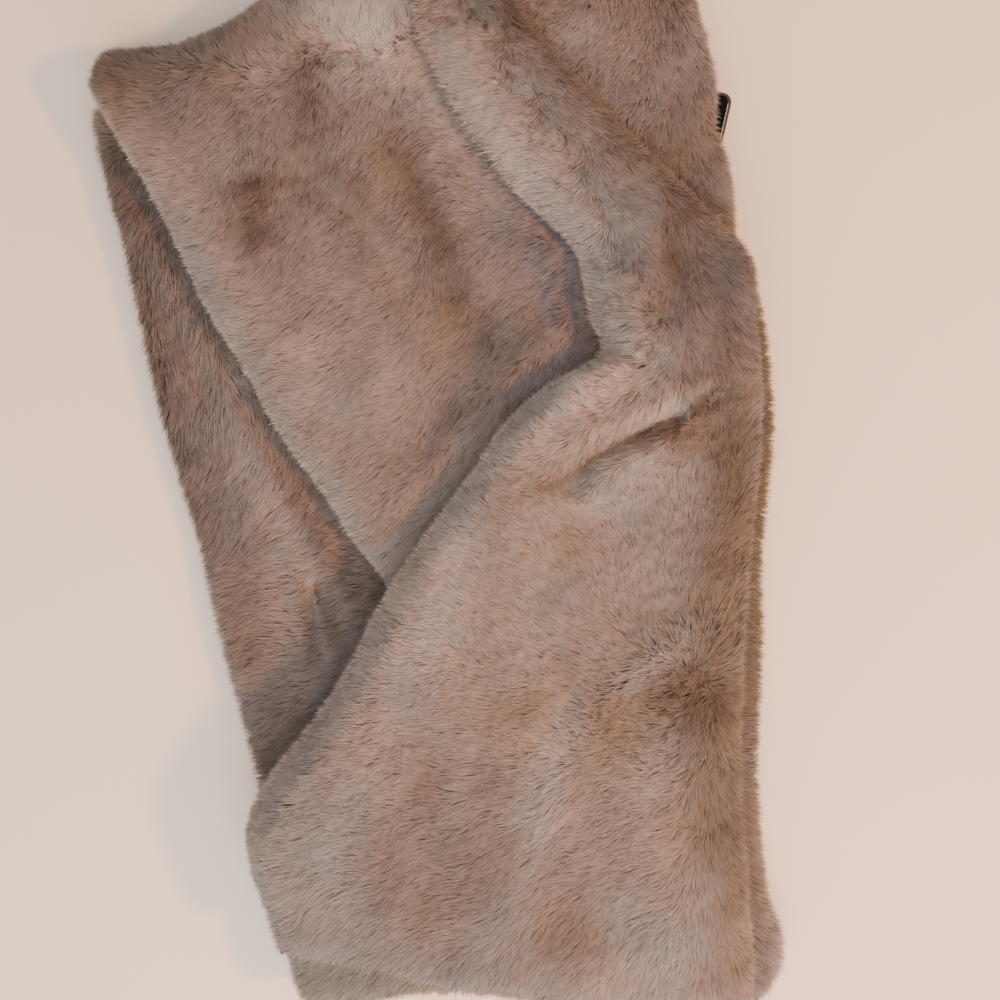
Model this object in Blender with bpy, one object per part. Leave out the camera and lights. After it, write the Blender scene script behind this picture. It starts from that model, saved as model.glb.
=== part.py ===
"""A plush collar wrap, folded in half and laid flat, with one deep diagonal pleat.

The wrap is a long flat tube of short-pile faux fur. Its under half lies on the table. It
turns back over itself at a rounded fold, and the upper half is pleated on the slant: the
upper left panel runs down under a crossing flap, which starts as a narrow ridge at the
fold, covers the edge of the upper right panel and widens to the lower left. A small
enamelled clasp is held under the right edge. Each stretch is as thick as two faces of
plush with their pile, and its form reaches as far as the pile does.

+X is to the right, +Y is towards the fold, +Z is up, and the wrap rests on Z = 0, with
its origin under the middle of its box. The tables lay it out in millimetres about the
point where the pleat crosses, and the meshes are in metres about the origin.
"""

import math
from collections import namedtuple

import bmesh
import bpy
import numpy as np
from mathutils import Matrix

MM = 0.001
LAYOUT_MIDDLE = (-31.08, 15.67)  # the middle of the wrap's box, in the tables' coordinates

# Driving sizes of the cloth
PLY = 22.0  # one stretch of the tube lying flat: two backings and their pile
LAYER_GAP = 0.8  # air between stretches that lie on each other
HEM_RADIUS = 11.0  # how far in from its edge a single stretch rounds over
FOLD_RADIUS = 22.0  # the turn at the fold, which goes round the end of the under half
FOLD_WALL = 0.62  # share of the fold's radius that is cloth at table height
CROSSING_RADIUS = 17.0  # the fuller, looser edge of the crossing flap
CROSSING_REACH = 27.0  # how far in from the crossing flap's edge its droop starts
UNDER_REACH = 62.0  # the same for the under half, which thins out to its free edge
EDGE_STEPS = 4  # facets in the quarter turn of an edge
WIDEST_EDGE = 0.42  # an edge's turn takes at most this share of the stretch's width
UNDERCUT = 1.7  # how much tighter an edge turns in below its tip than above it
SINGLE_TIP = 0.5  # height of a single stretch's edge, as a share of its thickness
CROSSING_TIP = 0.34  # the same for the crossing flap, whose edge hangs down
UNDER_TOP = PLY
PANEL_REST = UNDER_TOP + LAYER_GAP
PANEL_TOP = PANEL_REST + PLY - LAYER_GAP
CROSSING_REST = PANEL_TOP + LAYER_GAP

# The spacing of the rows along a stretch, and the columns between its two rounded edges
UNDER_GRID = (17.0, 15)
LEFT_GRID = (16.0, 12)
RIGHT_GRID = (16.0, 6)
CROSSING_GRID = (12.0, 14)
SAMPLES_PER_ROW = 40  # for measuring the length of a stretch

# Driving sizes of the clasp
CLASP_LENGTH = 27.0
CLASP_WIDTH = 17.0
CLASP_THICKNESS = 3.6
CLASP_CORNER = 5.0
RIM_WIDTH = 1.3
RIM_PROUD = 0.5  # how far the rim stands above and below the enamel
RIM_CLEARANCE = 0.3
CORNER_SEGMENTS = 6
SHARP_ANGLE = 30.0  # degrees between two faces that meet at a crisp edge
CLASP_CENTRE = (105.5, 191.0, 18.8)
CLASP_TURN = -13.0  # degrees about +Z, from the line of the wrap's edge
CLASP_TILT = -9.0  # degrees about its own length, outer side up

# One row for each section across a stretch, from its free end to the fold: its left and
# right ends, how much of the guide line's curve it takes, the height of its crown, how far
# its left and right edges droop past what they lie on, how much thinner its left edge is, and
# over what width it thins out.
Section = namedtuple(
    "Section",
    "left_x left_y right_x right_y curl crown droop_left droop_right flank flank_width",
    defaults=(0, 0, 0, 24),
)

# One row for each large fold or hollow in the upper surface: its two ends, how wide it
# is and how high, with a hollow below zero.
Crease = namedtuple("Crease", "x0 y0 x1 y1 width height")

# The fold seen from above, from its left corner to its right one.
FOLD_LINE = (
    (-204, 224), (-165, 227), (-135, 237), (-110, 255), (-80, 271),
    (-40, 284), (0, 288), (45, 283), (80, 267), (98, 250),
)  # fmt: skip

# The crossing flap's free hem seen from above.
HEM_LINE = ((-106, -214), (-60, -221), (-10, -232), (40, -238), (125, -242))

UNDER_SECTIONS = (
    Section(-99, -249, 132, -256, 0, 20.0),
    Section(-104, -240, 140, -244, 0, 21.0),
    Section(-105, -230, 145, -231, 0, 21.5),
    Section(-106, -216, 143, -217, 0, 22.0),
    Section(-111, -200, 137, -202, 0, 22.0),
    Section(-116, -178, 134, -180, 0, 22.0),
    Section(-127, -130, 131, -132, 0, 22.0, 4),
    Section(-143, -72, 133.5, -72, 0, 22.0, 6),
    Section(-153.5, -26, 133, -30, 0, 22.0, 7),
    Section(-165, 10, 137, 10, 0, 22.0, 7),
    Section(-175, 44, 139, 44, 0, 22.0, 6),
    Section(-187, 100, 134, 92, 0, 22.0, 3),
    Section(-191, 124, 125, 118, 0, 22.0, 1),
    Section(-201, 163, 102, 158, 0.3, 22.0),
    Section(-207, 192, 92, 196, 0.7, 22.0),
    Section(-199, 204, 82, 240, 1, 22.0),
)

UPPER_LEFT_SECTIONS = (
    Section(-94, -250, 109, -216, 0, 42.0, 0, 0, 2),
    Section(-101, -234, 109, -203, 0, 43.5, 0, 0, 3),
    Section(-105, -215, 108, -190, 0, 44.0, 0, 0, 6),
    Section(-108, -188, 107, -168, 0, 44.0, 0, 0, 8),
    Section(-109, -160, 106, -146, 0, 44.0, 0, 0, 9),
    Section(-101, -138, 105, -116, 0, 44.0, 0, 0, 9),
    Section(-83, -116, 106, -76, 0, 44.0, 0, 0, 9),
    Section(-64, -88, 108, -30, 0, 44.0, 0, 0, 9),
    Section(-55, -62, 110, 16, 0, 44.0, 0, 0, 9),
    Section(-54, -44, 110, 52, 0, 44.0, 0, 0, 9),
    Section(-70, -22, 108, 74, 0, 44.0, 0, 0, 9),
    Section(-87.5, 5, 106, 90, 0, 44.0, 0, 0, 9),
    Section(-108.5, 34, 98, 104, 0, 44.0, 0, 0, 9),
    Section(-125, 64, 82, 118, 0, 44.0, 0, 0, 9),
    Section(-146, 98, 60, 134, 0, 44.0, 0, 0, 9),
    Section(-159, 127, 38, 151, 0, 44.0, 0, 0, 8),
    Section(-171, 151, 24, 173, 0, 44.0, 0, 0, 6),
    Section(-186, 176, 6, 208, 0.4, 44.0, 0, 0, 3),
    Section(-201, 204, -12, 265, 1, 44.0, 0, 0, 2),
    Section(-198, 223, -15, 287, 1, 43.0),
)

UPPER_RIGHT_SECTIONS = (
    Section(40, 162, 108, 112, 0, 42.0),
    Section(33, 174, 114, 129, 0, 43.5),
    Section(26, 184, 114, 147, 0, 44.0),
    Section(17, 196, 112, 166, 0, 44.0),
    Section(7, 213, 108, 194, 0.2, 44.0),
    Section(-3, 236, 104.5, 211, 0.6, 44.0),
    Section(-9, 266, 100.5, 228, 1, 44.0),
    Section(-12, 287, 97, 251, 1, 43.0),
)

CROSSING_SECTIONS = (
    Section(-104, -214, 119, -242, 1, 61.0, 0, 3),
    Section(-112, -192, 120, -220, 0.8, 64.0, 4, 5, 2),
    Section(-119.5, -176, 118, -192, 0.4, 66.0, 9, 5, 4),
    Section(-122.5, -162, 117, -172, 0, 67.0, 13, 5, 5),
    Section(-120, -148, 115, -154, 0, 67.0, 14, 5, 6),
    Section(-109.5, -131, 114, -134, 0, 67.0, 13, 5, 7),
    Section(-93, -110, 114, -112, 0, 66.5, 11, 5, 8),
    Section(-75, -84, 115, -84, 0, 66.5, 8, 5, 9),
    Section(-54, -45, 117, -46, 0, 67.0, 3, 5, 10),
    Section(-33, -14, 119, -18, 0, 67.5, 0, 4, 10),
    Section(-11, 15, 121, 8, 0, 68.0, 0, 2, 10),
    Section(3, 36, 122, 30, 0, 69.0, 0, 0, 10),
    Section(25, 55, 122, 51, 0, 70.0, 0, 0, 9),
    Section(48, 69, 121, 69, 0, 70.5, 0, 0, 9),
    Section(43, 85, 119, 86, 0, 70.0, 0, 0, 9),
    Section(40, 103, 120, 103, 0, 68.5, 0, 0, 9, 30),
    Section(36, 119, 115, 118, 0, 66.5, 0, 0, 10, 36),
    Section(11, 145, 89, 145, 0, 64.0, 0, 0, 12, 44),
    Section(-9, 172, 60, 174, 0, 61.0, 0, 0, 12, 44),
    Section(-25, 197, 37, 199, 0, 58.5, 0, 0, 11, 44),
    Section(-37, 225, 15, 225, 0, 55.5, 0, 0, 9, 40),
    Section(-41, 250, 1, 249, 0, 52.5, 0, 0, 6, 36),
    Section(-43, 266, -4, 266, 0, 50.0, 0, 0, 3, 30),
)

UNDER_CREASES = (
    Crease(-196, 130, -150, 70, 10, -1.2),
    Crease(-183, 143, -140, 65, 8, 3.0),
    Crease(-135, 51, -101, -5, 8, 3.0),
    Crease(-92, -15, -75, -45, 8, 3.8),
    Crease(-102, -24, -92, -66, 8, 2.6),
    Crease(-140, -90, -112, -130, 9, -1.5),
    Crease(-90, -44, -86, -78, 3.5, -3.0),
)

UPPER_LEFT_CREASES = (
    Crease(-92, 164, -66, 144, 9, -2.4),
    Crease(-58, 136, -46, 108, 9, -2.4),
    Crease(-128, 150, -118, 108, 12, -2.4),
    Crease(-40, 152, -22, 112, 12, -2.6),
    Crease(-8, 96, -34, 30, 16, -3.0),
    Crease(24, 121, 33, 90, 7, 2.8),
    Crease(31, 84, -48, 2, 7, 3.0),
    Crease(-110, 118, -66, 70, 20, 2.2),
    Crease(-32, 198, 0, 142, 7, -1.6),
)

UPPER_RIGHT_CREASES = (Crease(40, 215, 84, 200, 14, -1.4),)

CROSSING_CREASES = (
    Crease(8, 24, 82, 54, 12, 5.0),
    Crease(96, 51, 90, 49, 5, -3.5),
    Crease(82, 41, 68, 34, 5, -7.0),
    Crease(61, 30, 48, 24, 5, -7.5),
    Crease(40, 18, 31, 7, 6, -6.0),
    Crease(34, 26, 72, 45, 5, 2.6),
    Crease(88, 52, 87, 64, 4, -2.5),
    Crease(50, 10, 58, 0, 9, 3.0),
    Crease(78, 118, 77, 92, 7, -3.0),
    Crease(42, -94, 94, -54, 9, 2.8),
    Crease(66, -88, 100, -86, 13, -3.6),
    Crease(96, -44, 106, -46, 8, -2.4),
    Crease(44, -100, 22, -140, 9, 2.6),
    Crease(-38, -118, -34, -176, 15, -3.2),
    Crease(36, -198, 44, -200, 13, -2.8),
    Crease(-78, -150, -62, -196, 20, 2.2),
    Crease(-8, -14, -32, -86, 14, 2.2),
)


def through(rows, at):
    """Reads a table at fractional row numbers, along cubic spans that pass through each row."""
    rows = np.asarray(rows, float)
    slope = np.gradient(rows, axis=0)
    low = np.clip(np.floor(at).astype(int), 0, len(rows) - 2)
    part = (at - low)[:, None]
    start = 2 * part**3 - 3 * part**2 + 1
    leave = part**3 - 2 * part**2 + part
    arrive = part**3 - part**2
    return (
        start * rows[low]
        + (1 - start) * rows[low + 1]
        + leave * slope[low]
        + arrive * slope[low + 1]
    )


def guide_height(line, x):
    """The Y of a guide line at X, along cubic spans through its points."""
    points = np.asarray(line, float)
    place = np.interp(x, points[:, 0], np.arange(len(points)))
    return through(points, np.ravel(place))[:, 1].reshape(np.shape(x))


def edge_spacing(length, radius, steps_between):
    """Distances from one end of each length to the other, closer together where the ends round over."""
    length = np.atleast_1d(np.asarray(length, float))[:, None]
    radius = np.minimum(radius, WIDEST_EDGE * length)
    turn = np.linspace(0, math.pi / 2, EDGE_STEPS + 1)
    edge = radius * (1 - np.cos(turn))
    share = np.linspace(0, 1, steps_between + 1)[1:-1]
    middle = radius + (length - 2 * radius) * share
    return np.concatenate([edge, middle, (length - edge)[:, ::-1]], axis=1)


def rounding(distance, radius):
    """How far an edge has risen, from 0 at its tip to 1 where the quarter turn is over."""
    left = 1 - np.clip(distance / radius, 0, 1)
    return np.sqrt(1 - left**2)


def drooping(distance, reach):
    """How much of an edge's droop is left this far in from it."""
    return (1 - np.clip(distance / reach, 0, 1)) ** 2


def row_places(sections, radius, spacing):
    """Fractional row numbers of the sections to build, and each one's distance from the two ends."""
    fine = np.linspace(0, len(sections) - 1, SAMPLES_PER_ROW * len(sections))
    middles = through(sections, fine)
    across = (middles[:, 0:2] + middles[:, 2:4]) / 2
    steps = np.linalg.norm(np.diff(across, axis=0), axis=1)
    travelled = np.concatenate([[0], np.cumsum(steps)])
    length = travelled[-1]
    between = max(2, round((length - 2 * radius) / spacing))
    wanted = edge_spacing(length, radius, between)[0]
    return np.interp(wanted, travelled, fine), wanted, length - wanted


def crease_relief(creases, x, y):
    """Sum of the creases: each a bell across its line, which fades past its two ends."""
    relief = np.zeros_like(x)
    for crease in creases:
        run = np.array([crease.x1 - crease.x0, crease.y1 - crease.y0], float)
        along = ((x - crease.x0) * run[0] + (y - crease.y0) * run[1]) / (run @ run)
        along = np.clip(along, 0, 1)
        off_x = x - (crease.x0 + along * run[0])
        off_y = y - (crease.y0 + along * run[1])
        relief += crease.height * np.exp(-(off_x**2 + off_y**2) / crease.width**2)
    return relief


def stretch_grid(sections, guide, side_radius, end_radius, reach, spacing_and_columns):
    """A stretch's points in plan, with each one's crown, droop and place between its edges."""
    row_spacing, columns = spacing_and_columns
    at, from_hem, from_fold = row_places(sections, end_radius, row_spacing)
    rows = through(sections, at)
    left, right = rows[:, 0:2], rows[:, 2:4]
    curl, crown, droop_left, droop_right, flank, flank_width = (
        rows[:, c : c + 1] for c in range(4, 10)
    )
    width = np.linalg.norm(right - left, axis=1)[:, None]
    from_left = edge_spacing(width[:, 0], side_radius, columns)
    share = from_left / width
    x = left[:, :1] + share * (right - left)[:, :1]
    y = left[:, 1:] + share * (right - left)[:, 1:]
    ends = guide_height(guide, left[:, :1]), guide_height(guide, right[:, :1])
    chord = ends[0] + share * (ends[1] - ends[0])
    y = y + curl * (guide_height(guide, x) - chord)
    from_right = width - from_left
    to_side = np.minimum(from_left, from_right)
    droop = droop_left * drooping(from_left, reach) + droop_right * drooping(from_right, reach)
    shape = x.shape
    return {
        "x": x,
        "y": y,
        "crown": crown - flank * drooping(from_left, flank_width),
        "droop": droop,
        "side": rounding(to_side, np.minimum(side_radius, WIDEST_EDGE * width)),
        "from_hem": np.broadcast_to(from_hem[:, None], shape),
        "from_fold": np.broadcast_to(from_fold[:, None], shape),
    }


def closed_slab(name, x, y, top, bottom):
    """One closed body from an upper and a lower sheet that share their outer edge."""
    rows, columns = x.shape
    east, north = x - LAYOUT_MIDDLE[0], y - LAYOUT_MIDDLE[1]
    above = np.stack([east, north, top], axis=2) * MM
    below = np.stack([east, north, bottom], axis=2) * MM
    body = bmesh.new()
    upper = [[body.verts.new(above[r, c]) for c in range(columns)] for r in range(rows)]
    lower = [line[:] for line in upper]
    for r in range(1, rows - 1):
        for c in range(1, columns - 1):
            lower[r][c] = body.verts.new(below[r, c])
    for r in range(rows - 1):
        for c in range(columns - 1):
            ring = ((r, c), (r, c + 1), (r + 1, c + 1), (r + 1, c))
            body.faces.new([upper[i][j] for i, j in ring])
            body.faces.new([lower[i][j] for i, j in reversed(ring)])
    mesh = bpy.data.meshes.new(name)
    body.to_mesh(mesh)
    body.free()
    mesh.shade_smooth()
    return bpy.data.objects.new(name, mesh)


def under_half():
    """The half that lies on the table: flat beneath, with its end just short of the fold."""
    grid = stretch_grid(UNDER_SECTIONS, FOLD_LINE, HEM_RADIUS, HEM_RADIUS, UNDER_REACH, UNDER_GRID)
    x, y = grid["x"], grid["y"]
    ends = rounding(np.minimum(grid["from_hem"], grid["from_fold"]), HEM_RADIUS)
    rise = grid["side"] * ends
    crown = grid["crown"] - grid["droop"]
    tip = SINGLE_TIP * crown
    top = tip + (crown + crease_relief(UNDER_CREASES, x, y) - tip) * rise
    bottom = tip * (1 - np.clip(UNDERCUT * rise, 0, 1))
    return closed_slab("under_half", x, y, top, bottom)


def folded_panel(name, sections, creases, spacing_and_columns):
    """A panel on the under half, whose far end goes round the fold and down to the table."""
    grid = stretch_grid(
        sections, FOLD_LINE, HEM_RADIUS, FOLD_RADIUS, UNDER_REACH, spacing_and_columns
    )
    x, y = grid["x"], grid["y"]
    hem = rounding(grid["from_hem"], HEM_RADIUS)
    fold = rounding(grid["from_fold"], FOLD_RADIUS)
    turning = grid["from_fold"] < FOLD_RADIUS - LAYER_GAP
    rest = np.where(turning, 0.0, PANEL_REST)
    tip = rest + SINGLE_TIP * (grid["crown"] - rest)
    rise = grid["side"] * hem * fold
    wall = rounding(grid["from_fold"], FOLD_RADIUS * FOLD_WALL)
    fall = np.clip(UNDERCUT * grid["side"] * hem, 0, 1) * wall
    top = tip + (grid["crown"] + crease_relief(creases, x, y) - tip) * rise
    bottom = tip + (rest - tip) * fall
    return closed_slab(name, x, y, top, bottom)


def crossing_flap():
    """The pleat's ridge and the flap it widens into, lying on both upper panels."""
    radius = CROSSING_RADIUS
    grid = stretch_grid(
        CROSSING_SECTIONS, HEM_LINE, radius, radius, CROSSING_REACH, CROSSING_GRID
    )
    x, y = grid["x"], grid["y"]
    ends = rounding(np.minimum(grid["from_hem"], grid["from_fold"]), radius)
    rise = grid["side"] * ends
    rest = CROSSING_REST - grid["droop"]
    crown = grid["crown"] - grid["droop"]
    tip = rest + CROSSING_TIP * (crown - rest)
    top = tip + (crown + crease_relief(CROSSING_CREASES, x, y) - tip) * rise
    bottom = tip + (rest - tip) * np.clip(UNDERCUT * rise, 0, 1)
    return closed_slab("crossing_flap", x, y, top, bottom)


def rounded_block(name, length, width, thickness, corner):
    """A flat block with rounded corners, standing on its own middle."""
    body = bmesh.new()
    bmesh.ops.create_cube(body, size=1)
    bmesh.ops.scale(body, vec=(width * MM, length * MM, thickness * MM), verts=body.verts)
    upright = [e for e in body.edges if abs((e.verts[0].co - e.verts[1].co).z) > 0]
    bmesh.ops.bevel(
        body, geom=upright, offset=corner * MM, segments=CORNER_SEGMENTS, profile=0.5, affect="EDGES"
    )
    mesh = bpy.data.meshes.new(name)
    body.to_mesh(mesh)
    body.free()
    mesh.shade_smooth()
    mesh.set_sharp_from_angle(angle=math.radians(SHARP_ANGLE))
    return bpy.data.objects.new(name, mesh)


def clasp_place():
    """Where the clasp lies: turned in plan, then tilted about its own length."""
    turn = Matrix.Rotation(math.radians(CLASP_TURN), 4, "Z")
    tilt = Matrix.Rotation(math.radians(CLASP_TILT), 4, "Y")
    east = CLASP_CENTRE[0] - LAYOUT_MIDDLE[0]
    north = CLASP_CENTRE[1] - LAYOUT_MIDDLE[1]
    centre = Matrix.Translation((east * MM, north * MM, CLASP_CENTRE[2] * MM))
    return centre @ turn @ tilt


def clasp_plate():
    """The enamelled plate, set inside its rim."""
    inset = 2 * (RIM_WIDTH + RIM_CLEARANCE)
    corner = CLASP_CORNER - RIM_WIDTH - RIM_CLEARANCE
    plate = rounded_block(
        "clasp_plate", CLASP_LENGTH - inset, CLASP_WIDTH - inset, CLASP_THICKNESS, corner
    )
    plate.matrix_world = clasp_place()
    return plate


def clasp_rim(cutters):
    """The metal frame round the plate: a block with the plate's opening cut through it."""
    thickness = CLASP_THICKNESS + 2 * RIM_PROUD
    rim = rounded_block("clasp_rim", CLASP_LENGTH, CLASP_WIDTH, thickness, CLASP_CORNER)
    rim.matrix_world = clasp_place()
    opening = rounded_block(
        "clasp_rim_opening",
        CLASP_LENGTH - 2 * RIM_WIDTH,
        CLASP_WIDTH - 2 * RIM_WIDTH,
        2 * thickness,
        CLASP_CORNER - RIM_WIDTH,
    )
    opening.matrix_world = clasp_place()
    opening.hide_render = True
    opening.display_type = "WIRE"
    cutters.objects.link(opening)
    cut = rim.modifiers.new("plate_opening", "BOOLEAN")
    cut.operation = "DIFFERENCE"
    cut.object = opening
    return rim


def finish(name, colour, roughness, metallic):
    """A material of one colour, given as linear red, green and blue."""
    material = bpy.data.materials.new(name)
    material.use_nodes = True
    shader = material.node_tree.nodes["Principled BSDF"]
    shader.inputs["Base Color"].default_value = (*colour, 1.0)
    shader.inputs["Roughness"].default_value = roughness
    shader.inputs["Metallic"].default_value = metallic
    return material


def build():
    for old in list(bpy.data.objects):
        bpy.data.objects.remove(old, do_unlink=True)
    wrap = bpy.data.collections.new("fur_collar_wrap")
    cutters = bpy.data.collections.new("cutters")
    for collection in (wrap, cutters):
        bpy.context.scene.collection.children.link(collection)

    shaded_plush = finish("plush_under_half", (0.34, 0.24, 0.19), 0.9, 0.0)
    plush = finish("plush_panels", (0.42, 0.32, 0.27), 0.9, 0.0)
    pale_plush = finish("plush_crossing_flap", (0.47, 0.38, 0.33), 0.9, 0.0)
    enamel = finish("black_enamel", (0.01, 0.01, 0.012), 0.12, 0.0)
    bronze = finish("bronze_rim", (0.33, 0.22, 0.15), 0.3, 1.0)

    left_panel = folded_panel(
        "upper_left_panel", UPPER_LEFT_SECTIONS, UPPER_LEFT_CREASES, LEFT_GRID
    )
    right_panel = folded_panel(
        "upper_right_panel", UPPER_RIGHT_SECTIONS, UPPER_RIGHT_CREASES, RIGHT_GRID
    )
    pieces = (
        (under_half(), shaded_plush),
        (left_panel, plush),
        (right_panel, plush),
        (crossing_flap(), pale_plush),
        (clasp_plate(), enamel),
        (clasp_rim(cutters), bronze),
    )
    for piece, material in pieces:
        piece.data.materials.append(material)
        wrap.objects.link(piece)


build()
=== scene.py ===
"""A plush collar wrap, folded in half and laid on a pale table with one slanting pleat.

Each stretch of the flat fur tube is a thin shell of backing cloth with a pile of tapered
fibres on it. The tables give places in millimetres about the point where the pleat
crosses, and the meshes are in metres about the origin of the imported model.
"""

import math
from collections import namedtuple

import bpy
import numpy as np
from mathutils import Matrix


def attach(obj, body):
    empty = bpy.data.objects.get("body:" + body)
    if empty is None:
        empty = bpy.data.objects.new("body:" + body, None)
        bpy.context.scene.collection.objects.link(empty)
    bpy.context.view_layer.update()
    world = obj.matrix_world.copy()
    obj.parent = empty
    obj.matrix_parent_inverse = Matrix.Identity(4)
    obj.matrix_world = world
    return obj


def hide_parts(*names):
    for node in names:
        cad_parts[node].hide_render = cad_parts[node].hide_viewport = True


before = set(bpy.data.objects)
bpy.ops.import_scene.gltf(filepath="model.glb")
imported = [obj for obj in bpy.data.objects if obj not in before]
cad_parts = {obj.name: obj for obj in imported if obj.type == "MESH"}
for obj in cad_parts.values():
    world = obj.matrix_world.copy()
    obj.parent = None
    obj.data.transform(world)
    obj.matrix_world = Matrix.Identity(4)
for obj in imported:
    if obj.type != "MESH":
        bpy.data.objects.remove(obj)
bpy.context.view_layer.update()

# ---------------------------------------------------------------------------------------
# The table, the light and the camera. The table is a plain matt painted board. A warm lamp
# stands low on the right, so the wrap's shadow falls to the left, and the room's own light
# is pale and comes from all round. The camera looks straight down.
# ---------------------------------------------------------------------------------------
MM = 0.001
LAYOUT_MIDDLE = (-31.08, 15.67)  # the middle of the wrap's box, in the tables' coordinates
CAMERA_HEIGHT = 545.0
HALF_VIEW = 260.0  # half of the table's width that shows
TABLE_SIDE = 4.0
TABLE_DROP = 0.0004  # keeps the cloth's underside and the board apart

BOARD = "#F9E1C9"
LAMP_LIGHT = "#FFB055"
ROOM_LIGHT = "#F4F3FB"
ROOM_STRENGTH = 0.9


def linear(hex_colour):
    """An sRGB hex colour as linear red, green and blue: each channel's display curve undone."""
    display = np.array([int(hex_colour[i : i + 2], 16) for i in (1, 3, 5)]) / 255
    return np.where(display <= 0.04045, display / 12.92, ((display + 0.055) / 1.055) ** 2.4)


def add_node(material, kind, settings=None, links=None):
    """Adds a node: settings are attributes or sockets by name, links are outputs for sockets."""
    made = material.node_tree.nodes.new(kind)
    for name, value in (settings or {}).items():
        if hasattr(made, name):
            setattr(made, name, value)
        else:
            made.inputs[name].default_value = value
    for name, output in (links or {}).items():
        material.node_tree.links.new(output, made.inputs[name])
    return made


def new_material(name):
    """A node material with no nodes in it yet."""
    material = bpy.data.materials.new(name)
    material.use_nodes = True
    material.node_tree.nodes.clear()
    return material


def mesh_piece(name, points, faces, material):
    """An object at the origin from points in metres and faces of one size, with its material."""
    mesh = bpy.data.meshes.new(name)
    sides = faces.shape[1]
    mesh.vertices.add(len(points))
    mesh.vertices.foreach_set("co", np.asarray(points, np.float32).ravel())
    mesh.loops.add(faces.size)
    mesh.loops.foreach_set("vertex_index", faces.astype(np.int32).ravel())
    mesh.polygons.add(len(faces))
    mesh.polygons.foreach_set("loop_start", np.arange(0, faces.size, sides, dtype=np.int32))
    mesh.update(calc_edges=True)
    mesh.materials.append(material)
    piece = bpy.data.objects.new(name, mesh)
    bpy.context.scene.collection.objects.link(piece)
    return piece


board_paint = new_material("matt_board_paint")
paint = add_node(
    board_paint,
    "ShaderNodeBsdfPrincipled",
    {"Base Color": (*linear(BOARD), 1), "Roughness": 0.7, "Specular IOR Level": 0.2},
)
add_node(board_paint, "ShaderNodeOutputMaterial", {}, {"Surface": paint.outputs["BSDF"]})
half = TABLE_SIDE / 2
corners = ((-half, -half), (half, -half), (half, half), (-half, half))
corners = np.array([(x, y, -TABLE_DROP) for x, y in corners])
board = mesh_piece("table_board", corners, np.array([[0, 1, 2, 3]]), board_paint)

eye = bpy.data.cameras.new("camera")
eye.angle = 2 * math.atan(HALF_VIEW / CAMERA_HEIGHT)
camera = bpy.data.objects.new("camera", eye)
camera.location = (-LAYOUT_MIDDLE[0] * MM, -LAYOUT_MIDDLE[1] * MM, CAMERA_HEIGHT * MM)
bpy.context.scene.collection.objects.link(camera)
bpy.context.scene.camera = camera

# One row for each area light: how it is turned from +X about +Z and raised, its distance,
# side and power, and its colour.
Light = namedtuple("Light", "name turned raised distance side power colour")
LIGHTS = (
    Light("low_lamp", -13, 44, 1.7, 0.17, 27.0, LAMP_LIGHT),
    Light("window_glow", -80, 50, 0.95, 0.8, 10.0, ROOM_LIGHT),
)
for row in LIGHTS:
    glow = bpy.data.lights.new(row.name, "AREA")
    glow.size = row.side
    glow.energy = row.power
    glow.color = linear(row.colour)
    lamp = bpy.data.objects.new(row.name, glow)
    turn, rise = math.radians(row.turned), math.radians(row.raised)
    lamp.location = (
        row.distance * math.cos(rise) * math.cos(turn),
        row.distance * math.cos(rise) * math.sin(turn),
        row.distance * math.sin(rise),
    )
    lamp.rotation_euler = (math.pi / 2 - rise, 0, turn + math.pi / 2)
    bpy.context.scene.collection.objects.link(lamp)

room = bpy.data.worlds.new("room_light")
room.use_nodes = True
air = room.node_tree.nodes["Background"].inputs
air["Color"].default_value = (*linear(ROOM_LIGHT), 1)
air["Strength"].default_value = ROOM_STRENGTH
bpy.context.scene.world = room

# ---------------------------------------------------------------------------------------
# Under half: the half of the flat fur tube that lies on the table. Its backing is a knitted
# cloth cut with the rest of the tube, sewn fur side in and turned. Its free left edge shows
# beside the panels, with a narrow strip of its right edge, and it ends short of the fold.
# ---------------------------------------------------------------------------------------
PLY = 22.0  # one stretch lying flat: two backings and their pile
LAYER_GAP = 0.8
HEM_RADIUS = 11.0
UNDERCUT = 1.7  # how much tighter an edge turns in below its tip than above it
SINGLE_TIP = 0.5  # height of a single stretch's edge, as a share of its thickness
WIDEST_EDGE = 0.42  # the most of a stretch's length that one edge's turn takes
UNDER_REACH = 62.0  # how far in from its free edge the under half thins out
EDGE_TURN_STEPS = 6
CLOTH_WALL = 1.0
CLOTH_CLEARANCE = 0.2  # the lowest that the backing lies above the table
PILE_DEPTH = 4.4  # from the backing up to where the pile's tips lie
SINK_SHARE = 0.4  # the most of a stretch's thickness that the pile's depth takes
FLOOR_SHARE = 0.2  # and the most of it that the lower sheet rises by
SHELL_SPACING = 8.0
ROOT_SPACING = 2.5
SAMPLES_PER_ROW = 40
OUTLINE_POINTS_PER_ROW = 6
WAVES = 14  # plane waves in one unevenness
WAVE_SPREAD = (0.65, 1.5)  # their pitches, as shares of its own
NAP_SOFTNESS = 60.0  # square millimetres added to each squared distance from a nap row
RUFFLE_POWER = 1.5
UNDER_RIM_HIGHLIGHT = 0.0  # how far fibres at its left rim take the pale tone of the painted rim highlight

Section = namedtuple(
    "Section",
    "left_x left_y right_x right_y curl crown droop_left droop_right flank flank_width",
    defaults=(0, 0, 0, 24),
)
Crease = namedtuple("Crease", "x0 y0 x1 y1 width height")
# Which way the fibres' tips lie around a place: degrees from +X towards +Y.
Nap = namedtuple("Nap", "x y way")
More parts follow.
